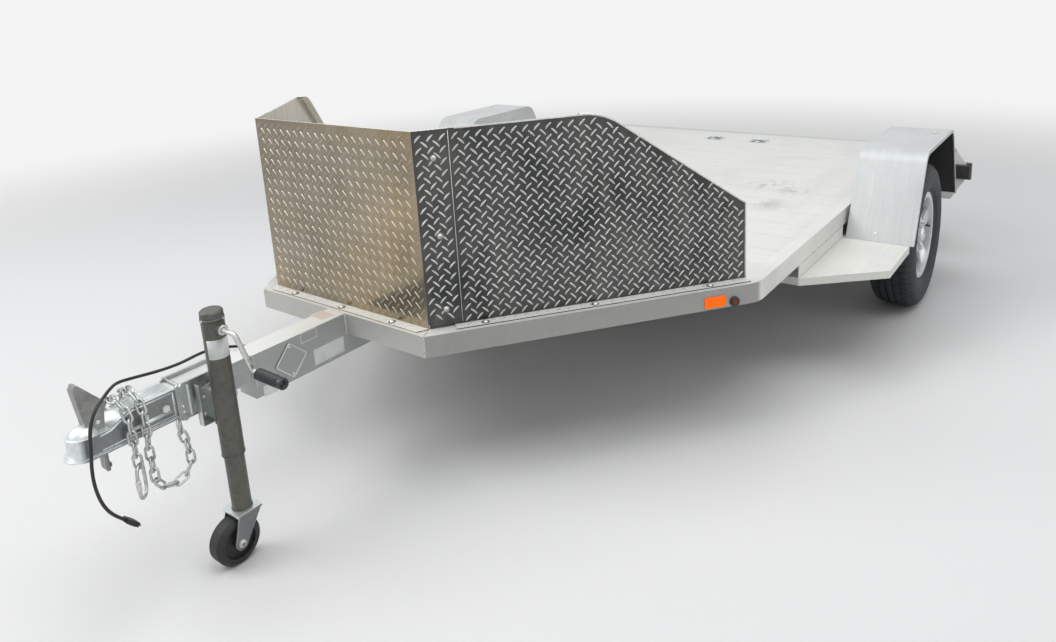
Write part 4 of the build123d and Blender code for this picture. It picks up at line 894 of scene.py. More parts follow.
def tyre(side):
    """Tyre with block tread, shoulder notches and ringed side walls."""
    lo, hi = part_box("tyre_" + side)
    centre = (lo + hi) / 2
    half = tyre_profile((hi.z - lo.z) / 2 - 0.0003, (hi.x - lo.x) / 2 - 0.0003)
    profile = [(-across, radius, share) for across, radius, share in reversed(half[1:])] + half
    sides = PITCHES * PITCH_STEPS
    count = len(profile)
    verts, faces = [], []
    for index in range(sides):
        turn = math.tau * index / sides
        for across, radius, share in profile:
            r = radius - block_cut(across, index % PITCH_STEPS, share)
            verts.append(centre + Vector((across, r * math.cos(turn), r * math.sin(turn))))
    for index in range(sides):
        low, high = index * count, (index + 1) % sides * count
        faces += [(low + row, high + row, high + row + 1, low + row + 1) for row in range(count - 1)]
    batch = Batch()
    batch.add(verts, faces)
    piece = batch.piece("tyre_tread_" + side, "wheel_" + side, "tyre", "tyre_rubber")
    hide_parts("tyre_" + side)


VALVE_PROFILE = [(0.004, 0), (0.0035, 0.010), (0.0042, 0.011), (0.0042, 0.018), (0, 0.019)]
CAP_PROFILE = [(0.019, 0), (0.019, 0.0008), (0.016, 0.0014), (0.010, 0.0009), (0, 0.0008)]


def wheel_trim(side):
    """Turned rings on the wheel's rim, the valve stem and the hub cap's disc."""
    lo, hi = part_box("rim_" + side)
    centre = (lo + hi) / 2
    out = 1 if side == "left" else -1
    edge, cap = (hi.x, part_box("hub_" + side)[1].x) if out > 0 else (lo.x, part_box("hub_" + side)[0].x)
    batch, valve, disc = Batch(), Batch(), Batch()
    for radius, thick in ((0.1775, 0.0012), (0.1665, 0.0008)):
        ring = [(edge - out * 0.0004, centre.y + y, centre.z + z) for y, z in arc(radius, 96)]
        batch.rod(ring, thick, 6, closed=True)
    batch.piece("rim_beads_" + side, "wheel_" + side, "rim", "wheel_aluminium")
    foot = (edge - out * 0.020, centre.y + 0.142, centre.z)
    valve.turned(VALVE_PROFILE, 14, facing(foot, (out, -0.5, 0)))
    valve.piece("valve_" + side, "wheel_" + side, "black", "tyre_rubber")
    disc.turned(CAP_PROFILE, 28, facing((cap - out * 0.0013, centre.y, centre.z), (out, 0, 0)))
    disc.piece("cap_disc_" + side, "wheel_" + side, "hub", "bolt_steel")


# ---- chains -----------------------------------------------------------------
CHAIN_WIRE = 0.0068
LINK_LENGTH = 0.045
LINK_WIDTH = 0.0254
LINK_PLAY = 0.0008
CHAIN_PITCH = LINK_LENGTH - 2 * CHAIN_WIRE - LINK_PLAY
CHAIN_X = -0.0564
FRONT_CHAIN_Y = -0.676
REAR_CHAIN_Y = -0.634
CHAIN_START = COUPLER_TOP - 0.0755
FRONT_CHAIN_DROP = 0.026 / 0.050 * (-0.545 - 0.110 - FRONT_CHAIN_Y - LINK_WIDTH / 2)
OVER_COUPLER = (90, 90, 62.5, 28.5, 0, -28.5, -62.5, -90, -90)      # how steeply each link rises
HOOK_FALL = [(-88, 90), (-88, 90)]                                  # (rise, bearing) of each link
LOOP_FALL = [(-86, -90), (-90, 0), (-86, 90), (-90, 0), (-54, 90), (-18, 90), (18, 90), (54, 90),
             (90, 0), (80, -90), (76, -90), (84, -90)]
HOOK_WIRE = 0.009
HOOK_LENGTH = 0.095
HOOK_WIDTH = 0.050
SLEEVE_WIDE = 0.0068
SLEEVE_PROFILE = [(0.005, -0.013), (SLEEVE_WIDE, -0.012), (SLEEVE_WIDE, 0.012), (0.005, 0.013)]


def hinge_points(y, drop, bearing, fall):
    """Where links meet: one pitch on for each rise and bearing in degrees."""
    points = [Vector((CHAIN_X, y - MID_Y, CHAIN_START - drop))]
    for heading in [(rise, bearing) for rise in OVER_COUPLER] + fall:
        rise, turn = (math.radians(angle) for angle in heading)
        level = math.cos(rise)
        step = Vector((level * math.cos(turn), level * math.sin(turn), math.sin(rise)))
        points.append(points[-1] + step * CHAIN_PITCH)
    return points


def link_path(length, width, wire, steps=8):
    """Middle line of a link: two straight sides and two half rounds."""
    radius = (width - wire) / 2
    reach = (length - wire) / 2 - radius
    bend = arc(radius, steps, -math.pi / 2, math.pi)
    return [Vector((end * (reach + x), end * y, 0)) for end in (1, -1) for x, y in bend]


def chain_strand(batch, points):
    """Links between hinge points, each leaning the other way from the last."""
    shape = link_path(LINK_LENGTH, LINK_WIDTH, CHAIN_WIRE)
    across = REARWARD.copy()
    for index, (start, end) in enumerate(zip(points, points[1:])):
        along = (end - start).normalized()
        across = (across - along * across.dot(along)).normalized()
        normal = Matrix.Rotation(math.radians(45 if index % 2 else -45), 3, along) @ across
        place = axes(along, normal.cross(along), normal, (start + end) / 2)
        batch.rod([place @ point for point in shape], 0.465 * CHAIN_WIRE, 10, closed=True)
        seam = place @ shape[-1].lerp(shape[0], 0.5)
        batch.rod([seam - along * 0.0012, seam, seam + along * 0.0012], 0.49 * CHAIN_WIRE, 10)


def safety_chains():
    """Both chains over the coupler, and the hook ring with its screwed sleeve."""
    batch = Batch()
    front = hinge_points(FRONT_CHAIN_Y, FRONT_CHAIN_DROP, 4, HOOK_FALL)
    chain_strand(batch, front)
    chain_strand(batch, hinge_points(REAR_CHAIN_Y, 0.0, 0, LOOP_FALL))
    side = Matrix.Rotation(math.radians(-45), 3, UP) @ RIGHT
    middle = front[-1] - UP * ((HOOK_LENGTH - HOOK_WIRE) / 2 - (HOOK_WIRE + LINK_PLAY) / 2)
    place = axes(-UP, side, side.cross(UP), middle)
    ring = [place @ point for point in link_path(HOOK_LENGTH, HOOK_WIDTH, HOOK_WIRE, 12)]
    batch.rod(ring, 0.47 * HOOK_WIRE, 14, closed=True)
    piece = batch.piece("chain_links", "frame", "chain", "chain_zinc")
    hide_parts("safety_chains")
    sleeve = Batch()
    at = moved(place, y=(HOOK_WIDTH - HOOK_WIRE) / 2) @ Matrix.Rotation(math.radians(90), 4, "Y")
    sleeve.turned(SLEEVE_PROFILE, 6, at, smooth=False, closed=True)
    sleeve.piece("hook_sleeve", "frame", "bolt", "chain_zinc")


# ---- coupler, tongue and jack -----------------------------------------------
RIB_REAR = COUPLER_REAR - 0.004
RIB_BEND = COUPLER_REAR - 0.110
RIB_NOSE = COUPLER_REAR - 0.184
RIBS = (                            # (y and z points, radius, sides)
    ([(RIB_REAR, 0.4985), (RIB_BEND, 0.4985), (RIB_BEND - 0.048, 0.4745), (RIB_NOSE, 0.4720)], 0.0026, 12),
    ([(RIB_REAR - 0.010, 0.4550), (RIB_BEND - 0.006, 0.4530)], 0.0026, 12),
    ([(RIB_REAR - 0.010, 0.4508), (RIB_BEND - 0.006, 0.4488)], 0.0026, 12),
    ([(RIB_REAR, 0.4375), (RIB_NOSE, 0.4365)], 0.0020, 12),
    ([(RIB_REAR, 0.4375), (RIB_REAR, 0.4985)], 0.0022, 10),
)
CREASE_X = 0.020
LEVER_PIN_SETBACK = 0.022
LEVER_PIN_Z = 0.497


def coupler_trim():
    """Pressed ribs round each side's hollow, creases on top and the lever's pins."""
    batch, pins = Batch(), Batch()
    face = COUPLER_HALF - 0.0010
    for side, _ in SIDES:
        for points, radius, sides in RIBS:
            batch.rod([(side * face, y, z) for y, z in points], radius, sides)
    top = COUPLER_TOP - 0.0004
    for x in (-CREASE_X, CREASE_X):
        batch.rod([(x, COUPLER_REAR - 0.006, top), (x, RIB_BEND + 0.006, top)], 0.0016, 8)
    batch.piece("coupler_ribs", "frame", "zinc_bright", "zinc_steel")
    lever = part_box("coupler_lever")[1]
    for side, _ in SIDES:
        pin = side_place(side * (lever.x - 0.0002), lever.y - LEVER_PIN_SETBACK, LEVER_PIN_Z)
        rivet(pins, pin, 0.0055, 0.003)
    pins.piece("lever_pins", "frame", "bolt", "bolt_steel")


PLATE_X = TUBE_HALF + 0.006         # outer face of the jack's clamp plates
MOUNT_BOLT_Z = (0.450, 0.434)
MOUNT_BOLT_Y = JACK_Y - 0.077
FLANGE_Y = JACK_Y - 0.062
FLANGE_Z = 0.462
FLANGE_SIZE = (0.0050, 0.084, 0.0078)


def mount_trim():
    """Flanges and bolts on the jack's clamp plates."""
    fixed, bolts = Batch(), Batch()
    for side, _ in SIDES:
        flange = side_place(side * (PLATE_X + 0.0028), FLANGE_Y, FLANGE_Z)
        fixed.box(flange, FLANGE_SIZE, 0.0016, 3)
        for z in MOUNT_BOLT_Z:
            rivet(bolts, side_place(side * (PLATE_X - 0.0002), MOUNT_BOLT_Y, z), 0.0048, 0.0034)
    fixed.piece("mount_flanges", "frame", "zinc_bright", "zinc_steel")
    bolts.piece("mount_bolts", "frame", "bolt", "bolt_steel")


CHANNEL_X = TUBE_HALF + 0.0133
CHANNEL_HALF = 0.0465
CHANNEL_DEPTH = 0.019
CHANNEL_SHEET = 0.003
CHANNEL_TOP = 0.063                 # above and below the swivel's middle
CHANNEL_LOW = -0.050
CHANNEL_SCOOP = 0.018
SCOOP_HALF = 0.041
SCOOP_STEPS = 12
SWIVEL_BOLTS = ((-0.011, 0.031), (-0.026, 0.020), (-0.030, -0.026), (0.030, -0.026))
PULL_REACH = 0.036                  # of the pull pin, from the swivel's middle
PULL_ANGLE = math.radians(22)
RING_RADIUS = 0.0135


def channel_outline():
    """Back of the channel, its top edge scooped twice."""
    outline = [(CHANNEL_HALF, CHANNEL_LOW), (CHANNEL_HALF, CHANNEL_TOP)]
    for step in range(SCOOP_STEPS + 1):
        turn = step / SCOOP_STEPS
        dip = CHANNEL_SCOOP * abs(math.sin(math.tau * turn))
        outline.append((SCOOP_HALF * (1 - 2 * turn), CHANNEL_TOP - 0.005 - dip))
    return outline + [(-CHANNEL_HALF, CHANNEL_TOP), (-CHANNEL_HALF, CHANNEL_LOW)]


def swivel_trim():
    """Pressed channel on the index plate, its bolts and the pull pin's ring."""
    channel, bolts = Batch(), Batch()
    lo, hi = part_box("jack_swivel")
    sheet, depth = CHANNEL_SHEET, CHANNEL_DEPTH
    height = CHANNEL_TOP - CHANNEL_LOW
    place = side_place(CHANNEL_X, JACK_Y, (lo.z + hi.z) / 2)
    channel.plate(place, channel_outline(), sheet)
    for y in (CHANNEL_HALF - sheet / 2, sheet / 2 - CHANNEL_HALF):
        middle = moved(place, y, CHANNEL_LOW + height / 2, depth / 2)
        channel.box(middle, (sheet, height, depth), 0.0009)
    foot = moved(place, 0, CHANNEL_LOW + sheet / 2, depth / 2)
    channel.box(foot, (2 * CHANNEL_HALF - 2 * sheet, sheet, depth), 0.0009)
    channel.piece("swivel_channel", "jack", "zinc_side", "zinc_steel")
    for y, z in SWIVEL_BOLTS:
        rivet(bolts, moved(place, y, z, sheet - 0.0002), 0.0050, 0.0034)
    pull = moved(place, PULL_REACH * math.cos(PULL_ANGLE), PULL_REACH * math.sin(PULL_ANGLE), 0.0275)
    ring = [pull @ Vector((0.004 + x, y - 0.0105, 0)) for x, y in arc(RING_RADIUS, 36)]
    bolts.rod(ring, 0.0015, 8, closed=True)
    bolts.piece("swivel_bolts", "jack", "bolt", "bolt_steel")


def label(name, place, width, height, look="label"):
    """Blank label film with rounded corners."""
    batch = Batch()
    batch.plate(place, rectangle(width, height, 0.002), 0.0003)
    batch.piece(name, "frame", look)


BEAM_SIDE = BEAM_HALF + 0.0001
BEAM_LABEL = (BEAM_SIDE, -1.196, 0.409)
SMALL_LABEL = (BEAM_SIDE, -1.404, 0.383)
TOP_LABEL = (-0.014, -1.169, DECK_Z + 0.0001)
UPPER_RIM = (BEAM_SIDE, -1.261, 0.484)
DIAMOND = (BEAM_SIDE, -1.330, 0.4365)
DIAMOND_SIZE = 0.074
DIAMOND_TURN = math.radians(47)
DIAMOND_RIVET = 0.029               # from its middle, along and across


def tongue_trim():
    """Blank labels and the raised diamond plate on the tongue."""
    label("beam_label", side_place(*BEAM_LABEL), 0.105, 0.043)
    label("beam_label_small", side_place(*SMALL_LABEL), 0.045, 0.032)
    label("beam_label_top", Matrix.Translation(TOP_LABEL), 0.060, 0.044, "faded")
    rims, plate, rim = Batch(), Batch(), Batch()
    rims.plate(side_place(*UPPER_RIM), rectangle(0.057, 0.030, 0.002), 0.0006,
               rectangle(0.053, 0.026, 0.001))
    rims.plate(side_place(*BEAM_LABEL), rectangle(0.111, 0.049, 0.003), 0.0003,
               rectangle(0.106, 0.044, 0.002))
    rims.piece("label_edges", "frame", "label")
    turned = side_place(*DIAMOND) @ Matrix.Rotation(DIAMOND_TURN, 4, "Z")
    plate.box(moved(turned, z=0.002), (DIAMOND_SIZE, DIAMOND_SIZE, 0.004), 0.0012)
    plate.piece("diamond_plate", "frame", "tube", "rail_aluminium")
    border = rectangle(DIAMOND_SIZE, DIAMOND_SIZE, 0.006, 4)
    rim.rod([turned @ Vector((x, y, 0.0042)) for x, y in border], 0.0019, 8, closed=True)
    for corner in (DIAMOND_RIVET, -DIAMOND_RIVET):
        rivet(rim, moved(turned, corner, corner, 0.004), 0.004, 0.002)
    rim.piece("diamond_rim", "frame", "hem", "rail_aluminium")


STEP_TOP = 0.388


def side_welds():
    """Beads on the +X side, each as its two ends and its radius."""
    corner = FRONT_HALF - 0.0004
    inner = FRONT_HALF - 0.050 * math.tan(BOW_ANGLE / 2)
    front, sunk = FRONT_Y + 0.0006, FRONT_Y - 0.0008
    below, under = RAIL_Z - 0.0006, RAIL_Z - 0.0005
    tube_y, cap_x, cap_y = BEAM_FRONT - 0.0006, BEAM_HALF - 0.001, BEAM_FRONT + 0.006
    step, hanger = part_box("step_left"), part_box("axle_hangers")
    step_x, step_front, step_rear = DECK_HALF - 0.0005, step[0].y + 0.02, step[1].y - 0.02
    hang_x, middle = hanger[1].x, (hanger[0].y + hanger[1].y) / 2
    axle_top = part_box("axle_beam")[1].z
    rows = [
        ((corner, front, RAIL_Z + 0.002), (corner, front, DECK_Z - 0.002), 0.0018),
        ((corner, FRONT_Y + 0.001, DECK_Z), (inner, FRONT_Y + 0.049, DECK_Z), 0.0011),
        ((BEAM_HALF, sunk, RAIL_Z), (BEAM_HALF, sunk, DECK_Z - 0.002), 0.0024),
        ((BEAM_HALF, FRONT_Y, below), (BEAM_HALF, FRONT_Y + 0.048, below), 0.0024),
        ((TUBE_HALF, tube_y, TUBE_BOTTOM), (TUBE_HALF, tube_y, DECK_Z), 0.0026),
        ((cap_x, cap_y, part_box("tongue_beam")[0].z + 0.03), (cap_x, cap_y, DECK_Z), 0.0016),
        ((step_x, step_front, RAIL_Z), (step_x, step_rear, RAIL_Z), 0.0022),
        ((step_x, step_front, STEP_TOP), (step_x, step_rear, STEP_TOP), 0.0018),
        ((hang_x + 0.0005, middle - 0.036, axle_top), (hang_x + 0.0005, middle + 0.036, axle_top), 0.0024),
    ]
    for y in (hanger[0].y + 0.002, hanger[1].y - 0.002):
        rows.append(((hang_x, y, under), (hang_x - 0.042, y, under), 0.0026))
    return rows


def welds():
    """Beads where the rails, the tongue, the steps and the hangers are joined."""
    batch = Batch()
    for side, _ in SIDES:
        for start, end, radius in side_welds():
            weld(batch, (side * start[0], *start[1:]), (side * end[0], *end[1:]), radius)
    y, z = FRONT_Y - 0.0008, DECK_Z - 0.001
    weld(batch, (-BEAM_HALF, y, z), (BEAM_HALF, y, z), 0.0012)
    y = BEAM_FRONT - 0.0006
    weld(batch, (-TUBE_HALF, y, TUBE_BOTTOM), (TUBE_HALF, y, TUBE_BOTTOM), 0.0026)
    batch.piece("weld_beads", "frame", "weld", "rail_aluminium")


BAND_STEPS = 48


def tube_band(batch, low, high, thickness, turn=math.tau, start=0.0):
    """Band or curved label on the jack's outer tube."""
    inner = JACK_RADIUS + 0.0001
    outer = inner + thickness
    verts, faces = [], []
    for index in range(BAND_STEPS + 1):
        angle = start + turn * index / BAND_STEPS
        for radius, z in ((inner, low), (outer, low), (outer, high), (inner, high)):
            verts.append((JACK_X + radius * math.cos(angle), JACK_Y + radius * math.sin(angle), z))
    for index in range(0, 4 * BAND_STEPS, 4):
        for row in range(4):
            after = (row + 1) % 4
            faces.append((index + row, index + after, index + 4 + after, index + 4 + row))
    if turn < math.tau:
        faces += [(3, 2, 1, 0), tuple(range(4 * BAND_STEPS, 4 * BAND_STEPS + 4))]
    batch.add(verts, faces, smooth=True)


JACK_LABEL_Z = (0.573, 0.624)
TOP_BAND_Z = (0.669, 0.677)
FOOT_BAND = 0.004
CRANK_Z = 0.650
CAP_RIVET_Z = 0.673
CAP_BUTTON = [(0.0065, 0), (0.0065, 0.0012), (0.0045, 0.0022), (0, 0.0022)]
CRANK_COLLAR = [(0.0128, 0), (0.0128, 0.002), (0.0115, 0.003), (0.0075, 0.003), (0.0075, 0)]


def jack_trim():
    """Blank label, bands and welds of the jack's tube, rivets of its cap and the crank's collar."""
    paper, bands, rivets = Batch(), Batch(), Batch()
    tube_band(paper, *JACK_LABEL_Z, 0.0003, math.radians(122), math.radians(-76))
    paper.piece("jack_label", "jack", "label")
    lo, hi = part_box("jack_outer_tube")
    tube_band(bands, lo.z, lo.z + FOOT_BAND, 0.0009)
    tube_band(bands, *TOP_BAND_Z, 0.0008)
    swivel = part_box("jack_swivel")
    bead = arc(JACK_RADIUS + 0.0004, 24, 0.62 * math.pi, 0.76 * math.pi)
    for z in (swivel[0].z + 0.006, swivel[1].z - 0.006):
        bands.rod([(JACK_X + x, JACK_Y + y, z) for x, y in bead], 0.0022, 8, ripple=0.2)
    bands.piece("jack_bands", "jack", "zinc_dull", "zinc_steel")
    for x, y in arc(1.0, 3, math.radians(30)):
        out = Vector((x, y, 0))
        place = facing(Vector((JACK_X, JACK_Y, CAP_RIVET_Z)) + out * (JACK_RADIUS + 0.0006), out)
        rivet(rivets, place, 0.0032, 0.0016)
    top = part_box("jack_cap")[1].z - 0.0024
    rivets.turned(CAP_BUTTON, 20, facing((JACK_X, JACK_Y, top), UP))
    collar = facing((hi.x - 0.0005, JACK_Y, CRANK_Z), RIGHT)
    rivets.turned(CRANK_COLLAR, 24, collar, smooth=False, closed=True)
    rivets.piece("jack_rivets", "jack", "bolt", "bolt_steel")


GRIP_BORE = 0.0068
GRIP_RIBS = 11


def crank_grip():
    """Moulded grip with ribs and a hollow end, over the crank's handle."""
    lo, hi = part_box("crank_grip")
    centre = (lo + hi) / 2
    radius = (hi.z - lo.z) / 2
    end = hi.x - lo.x
    profile = [(GRIP_BORE, 0), (radius * 0.80, 0), (radius * 0.97, 0.003), (radius, 0.006)]
    step = (end - 0.026) / GRIP_RIBS
    for index in range(GRIP_RIBS):
        z = 0.010 + index * step
        profile += [(radius * size, z + step * share) for size, share in
                    ((1, 0), (0.84, 0.18), (0.84, 0.40), (1, 0.58))]
    profile += [(radius, end - 0.012), (radius * 0.97, end - 0.002), (radius * 0.90, end), (0.0095, end),
                (0.0085, end - 0.006), (GRIP_BORE, end - 0.006)]
    batch = Batch()
    batch.turned(profile, 32, facing((lo.x, centre.y, centre.z), RIGHT), closed=True)
    piece = batch.piece("ribbed_grip", "crank", "grip")
    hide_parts("crank_grip")


CHEEK_X = 0.034                     # outer face of a fork cheek, from the roller's middle
LEG_WELD = 0.0252
AXLE_NUT = [(0.0092, 0.0014), (0.0092, 0.0056), (0.0080, 0.0064), (0.0062, 0.0064)]


def caster_trim():
    """Axle nuts and washers of the caster, and the weld round the leg's foot."""
    batch, foot = Batch(), Batch()
    lo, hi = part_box("caster_wheel")
    centre = (lo + hi) / 2
    for side, _ in SIDES:
        place = facing((centre.x + side * CHEEK_X, centre.y, centre.z), RIGHT * side)
        batch.disc(0.0105, 0.0014, 24, place)
        batch.turned(AXLE_NUT, 6, place, smooth=False)
    batch.piece("caster_nuts", "caster", "bolt", "bolt_steel")
    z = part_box("caster_fork")[1].z + 0.0014
    ring = [(JACK_X + x, JACK_Y + y, z) for x, y in arc(LEG_WELD, 60)]
    foot.rod(ring, 0.0016, 8, closed=True, ripple=0.25)
    foot.piece("leg_weld", "leg", "zinc_dull", "zinc_steel")


# ---- fenders, deck and lamps ------------------------------------------------
FENDER_SLOPE = 0.165 / 0.329        # how far each end leans out for its height
FENDER_BEND = 0.075
FENDER_BOLT_Y = 1.111
FENDER_BOLT_INSET = 0.048           # from the outer edge
END_RIVET_INSET = 0.140
END_RIVET_RISE = 0.028
HEM_RADIUS = 0.0034


def fender_path(name, inset):
    """Side view of a fender's sheet at a depth below its outer face, as (y, z) points."""
    lo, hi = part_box("fender_" + name)
    lean = math.atan2(1, FENDER_SLOPE)
    tangent = FENDER_BEND * math.tan(lean / 2)
    centre_y = lo.y + FENDER_SLOPE * (hi.z - lo.z) + tangent
    centre_z = hi.z - FENDER_BEND
    bend = arc(FENDER_BEND - inset, 10, math.pi / 2 + lean, -lean)
    points = [(lo.y + inset / math.sin(lean) + 0.0005, lo.z + 0.001)]
    points += [(centre_y + y, centre_z + z) for y, z in bend]
    return points + [(lo.y + hi.y - y, z) for y, z in reversed(points)]


def fender_trim():
    """Rolled outer hem, the bolt on the top and a rivet low on each end."""
    hems, bolts = Batch(), Batch()
    for side, name in SIDES:
        lo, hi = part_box("fender_" + name)
        outer = hi.x if side > 0 else lo.x
        path = fender_path(name, HEM_RADIUS)
        hems.rod([(outer - side * HEM_RADIUS, y, z) for y, z in path], HEM_RADIUS, 10)
        top = facing((outer - side * FENDER_BOLT_INSET, FENDER_BOLT_Y, hi.z - 0.0002), UP)
        hex_bolt(bolts, top, 0.0085, 0.006, 0.012)
        for end, edge in ((1, hi.y), (-1, lo.y)):
            y = edge - end * FENDER_SLOPE * END_RIVET_RISE
            point = (outer - side * END_RIVET_INSET, y, lo.z + END_RIVET_RISE)
            rivet(bolts, facing(point, (0, end, FENDER_SLOPE)), 0.0052, 0.0024)
    hems.piece("fender_hems", "frame", "hem", "fender_aluminium")
    bolts.piece("fender_bolts", "frame", "bolt", "bolt_steel")


RING_X = (-0.035, 0.225)
RING_Y = 1.700
PAN_WIDTH = 0.100
PAN_DEPTH = 0.092
RING_HALF = 0.026


def tie_down(metal, dark, x, y):
    """Recessed ring for a strap: a pressed frame, a dark pan and a ring lying in it."""
    place = Matrix.Translation((x, y, DECK_Z))
    metal.plate(place, rectangle(PAN_WIDTH, PAN_DEPTH, 0.008), 0.0016,
                rectangle(PAN_WIDTH - 0.024, PAN_DEPTH - 0.024, 0.012))
    dark.plate(place, rectangle(PAN_WIDTH - 0.020, PAN_DEPTH - 0.020, 0.012), 0.0003)
    bend = [(px, py - 0.004) for px, py in arc(RING_HALF, 12, 0.0, math.pi)]
    ring = [(RING_HALF, -RING_HALF)] + bend + [(-RING_HALF, -RING_HALF)]
    metal.rod([(x + px, y + py, DECK_Z + 0.0034) for px, py in ring], 0.0031, 10, closed=True)
    metal.box(moved(place, 0, -RING_HALF, 0.0036), (0.026, 0.011, 0.0072), 0.002)
    for sx in (1, -1):
        for sy in (1, -1):
            corner = moved(place, sx * (PAN_WIDTH / 2 - 0.007), sy * (PAN_DEPTH / 2 - 0.007), 0.0016)
            rivet(metal, corner, 0.0036, 0.0016)


def deck_trim():
    """Pair of strap rings at the rear."""
    metal, dark = Batch(), Batch()
    for x in RING_X:
        tie_down(metal, dark, x, RING_Y)
    metal.piece("strap_rings", "frame", "zinc_side", "zinc_steel")
    dark.piece("ring_pans", "frame", "lever", "zinc_steel")


BRACKET_WIDTH = 0.26
BRACKET_SCREWS = ((0.205, 0.535), (0.110, 0.535), (0.205, 0.345), (0.110, 0.345))
LENS_INNER = 0.173
LENS_WIDTH = 0.168
LENS_RIB = (0.003, 0.002, 0.054)
SIDE_MARKER = (0.950, 0.452)        # its place along the bow, and its height
MARKER_RING = [(0.0110, 0.0), (0.0155, 0.0), (0.0155, 0.0055), (0.0135, 0.0085), (0.0115, 0.0098),
               (0.0080, 0.0098), (0.0080, 0.0085)]


def lamp_trim():
    """Bracket screws, lens ribs and the rubber rings of the side lamps."""
    screws, ribs, rings = Batch(), Batch(), Batch()
    lo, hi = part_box("tail_lenses")
    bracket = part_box("tail_brackets")
    for side, _ in SIDES:
        for dx, z in BRACKET_SCREWS:
            point = (side * (bracket[1].x - BRACKET_WIDTH + dx), bracket[0].y - 0.0001, z)
            hex_bolt(screws, facing(point, -REARWARD), 0.0065, 0.005, 0.0095)
        for index in range(1, 4):
            x = side * (hi.x - LENS_INNER + LENS_WIDTH * index / 4)
            ribs.box(Matrix.Translation((x, hi.y - 0.0004, (lo.z + hi.z) / 2)), LENS_RIB)
        along, up = SIDE_MARKER
        rings.turned(MARKER_RING, 32, facing(bow_point(0, along, side, up), BOW_OUT[side]), closed=True)
    screws.piece("bracket_screws", "frame", "bolt", "bolt_steel")
    ribs.piece("lens_ribs", "frame", "red", "red_lens")
    rings.piece("marker_rings", "frame", "black", "lamp_black")


PLUG_LENGTH = 0.034
PIN_PITCH = 0.0064
PIN_PROFILE = [(0.0022, 0), (0.0022, 0.007), (0.00154, 0.0085), (0, 0.0085)]


def plug_trim():
    """Moulded ribs and the bare pins of the lamp plug."""
    pins, ribs = Batch(), Batch()
    last, end = Vector(CORD_POINTS[-2]), Vector(CORD_POINTS[-1])
    along = (end - last).normalized()
    side = (RIGHT - along * along.x).normalized()
    place = axes(side, along.cross(side), along, end + along * PLUG_LENGTH - REARWARD * MID_Y)
    for index in range(4):
        pins.turned(PIN_PROFILE, 12, moved(place, PIN_PITCH * (index - 1.5), 0, -0.0005))
    pins.piece("plug_pins", "frame", "brass")
    for index in range(5):
        at = moved(place, z=-0.009 - 0.004 * index)
        ribs.plate(at, rectangle(0.0292, 0.0122, 0.0025), 0.0016)
    ribs.piece("plug_ribs", "frame", "black")


# ---- cord -------------------------------------------------------------------
CORD_DIAMETER = 0.008
CORD_POINTS = [
    (-0.044, -0.236, 0.466), (-0.068, -0.236, 0.466), (-0.092, -0.262, 0.472), (-0.092, -0.310, 0.490),
    (-0.072, -0.362, 0.513), (-0.052, -0.418, 0.525), (-0.046, -0.478, 0.523), (-0.049, -0.538, 0.527),
    (-0.044, -0.598, 0.539), (-0.026, -0.645, 0.553), (0.006, -0.674, 0.561), (0.034, -0.704, 0.560),
    (0.051, -0.738, 0.542), (0.058, -0.757, 0.504), (0.060, -0.763, 0.456), (0.057, -0.769, 0.406),
    (0.057, -0.768, 0.358), (0.055, -0.759, 0.314), (0.053, -0.741, 0.276), (0.050, -0.716, 0.248),
]


def lamp_lead():
    """The lamp lead on one smooth curve, from its grommet over the tongue to its plug."""
    curve = bpy.data.curves.new("lamp_lead", "CURVE")
    curve.dimensions = "3D"
    curve.bevel_depth = CORD_DIAMETER / 2
    curve.bevel_resolution = 6
    curve.resolution_u = 12
    curve.use_fill_caps = True
    spline = curve.splines.new("NURBS")
    spline.points.add(len(CORD_POINTS) - 1)
    for point, (x, y, z) in zip(spline.points, CORD_POINTS):
        point.co = (x, y - MID_Y, z, 1)
    spline.order_u = 3
    spline.use_endpoint_u = True
    obj = put("lamp_lead", curve)
    curve.materials.append(LOOKS["cord"])
    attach(obj, "frame")
    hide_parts("wiring_cord")
    x, y, z = CORD_POINTS[0]


# ---- stage ------------------------------------------------------------------
PALE = 0.90
FLOOR_TONE = 0.84
FLOOR_FADE = (2.6, 7.0)
SKY = ((0.30, 0.30, 0.31), (0.80, 0.82, 0.85))
SKY_HEIGHTS = (0.0, 0.9)
WORLD_STRENGTH = 0.45
LAMPS = {
    "key": ((-3.2, -4.2, 5.2), (0, -0.3, 0.4), (4.0, 4.0), 210),
    "fill": ((4.6, 1.2, 3.6), (0.4, 0, 0.4), (3.0, 5.0), 29),
    "top": ((1.1, -0.5, 6.0), (0.3, -0.1, 0), (4.0, 6.0), 180),
}
LENS_MM = 27.03
SHIFT = (0.0018, -0.1383)
CAMERA_PLACE = (1.854, -2.535, 1.428)
CAMERA_YAW = 37.84
CAMERA_PITCH = 13.49
CAMERA_ROLL = -3.42


def floor():
    """Pale floor that fades into the even backdrop, keeping the shadow near the trailer."""
    bpy.ops.mesh.primitive_circle_add(vertices=96, radius=400, fill_type="NGON")
    obj = bpy.context.object
    obj.name = "floor"
    material = bpy.data.materials.new("floor_look")
    made = Nodes(material)
    made.tree.nodes.clear()
    place = made.node("TexCoord").outputs["Object"]
    away = made.node("VectorMath", place, operation="LENGTH").outputs["Value"]
    fade = made.node("MapRange", Value=away, From_Min=FLOOR_FADE[0], From_Max=FLOOR_FADE[1])
    fade.interpolation_type = "SMOOTHSTEP"
    near = made.node("BsdfDiffuse", Color=grey(FLOOR_TONE)).outputs["BSDF"]
    far = made.node("Emission", Color=grey(PALE)).outputs["Emission"]
    mix = made.node("MixShader", fade.outputs["Result"], near, far)
    made.node("OutputMaterial", mix.outputs["Shader"])
    obj.data.materials.append(material)


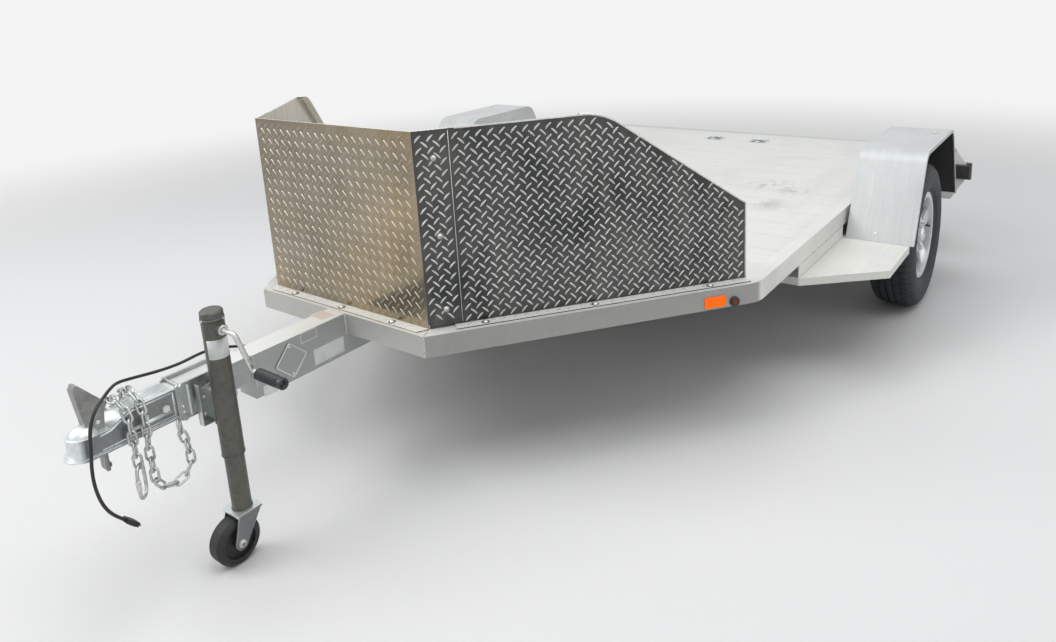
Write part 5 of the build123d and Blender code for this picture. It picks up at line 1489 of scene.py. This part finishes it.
def pale_rays(made):
    """1 for rays that see the pale background: from the camera, off gloss and through glass."""
    rays = made.node("LightPath").outputs
    total = rays["Is Camera Ray"]
    for name in ("Is Glossy Ray", "Is Transmission Ray"):
        total = made.node("Math", total, rays[name], operation="MAXIMUM").outputs[0]
    return total


def world():
    """Soft light from all round, stronger from above; pale to the camera and in gloss."""
    studio = bpy.data.worlds.new("studio")
    bpy.context.scene.world = studio
    made = Nodes(studio)
    made.tree.nodes.clear()
    place = made.node("TexCoord").outputs["Generated"]
    sky = made.node("ValToRGB", made.node("SeparateXYZ", place).outputs["Z"])
    for element, height, color in zip(sky.color_ramp.elements, SKY_HEIGHTS, SKY):
        element.position = height
        element.color = (*color, 1)
    light = made.node("Background", sky.outputs["Color"], WORLD_STRENGTH).outputs["Background"]
    seen = made.node("Background", grey(PALE)).outputs["Background"]
    mix = made.node("MixShader", pale_rays(made), light, seen)
    made.node("OutputWorld", mix.outputs["Shader"])


def lights():
    for name, (place, target, size, energy) in LAMPS.items():
        light = bpy.data.lights.new(name, "AREA")
        light.shape = "RECTANGLE"
        light.size, light.size_y = size
        light.energy = energy
        obj = put(name, light)
        obj.location = place
        obj.rotation_euler = (Vector(target) - Vector(place)).to_track_quat("-Z", "Y").to_euler()


def camera():
    """Camera at the photograph's viewing angle, looking down the trailer from its front left corner."""
    yaw, pitch, roll = (math.radians(angle) for angle in (CAMERA_YAW, CAMERA_PITCH, CAMERA_ROLL))
    data = bpy.data.cameras.new("camera")
    obj = put("camera", data)
    data.sensor_width = 36.0
    data.lens = LENS_MM
    data.shift_x, data.shift_y = SHIFT
    data.clip_end = 1000
    back = Vector((math.sin(yaw) * math.cos(pitch), -math.cos(yaw) * math.cos(pitch), math.sin(pitch)))
    right = Vector((math.cos(yaw), math.sin(yaw), 0))
    up = back.cross(right)
    turned_right = right * math.cos(roll) + up * math.sin(roll)
    turned_up = up * math.cos(roll) - right * math.sin(roll)
    obj.matrix_world = axes(turned_right, turned_up, back, CAMERA_PLACE)
    bpy.context.scene.camera = obj


dress_nodes()
camera()
lamp_lead()
front_bars()
for side_sign, side_name in SIDES:
    side_bars(side_sign, side_name)
guard_bolts()
for _, side_name in SIDES:
    tyre(side_name)
    wheel_trim(side_name)
safety_chains()
coupler_trim()
mount_trim()
swivel_trim()
tongue_trim()
welds()
jack_trim()
crank_grip()
caster_trim()
fender_trim()
deck_trim()
lamp_trim()
plug_trim()
floor()
world()
lights()
bpy.context.scene.view_settings.view_transform = "Standard"
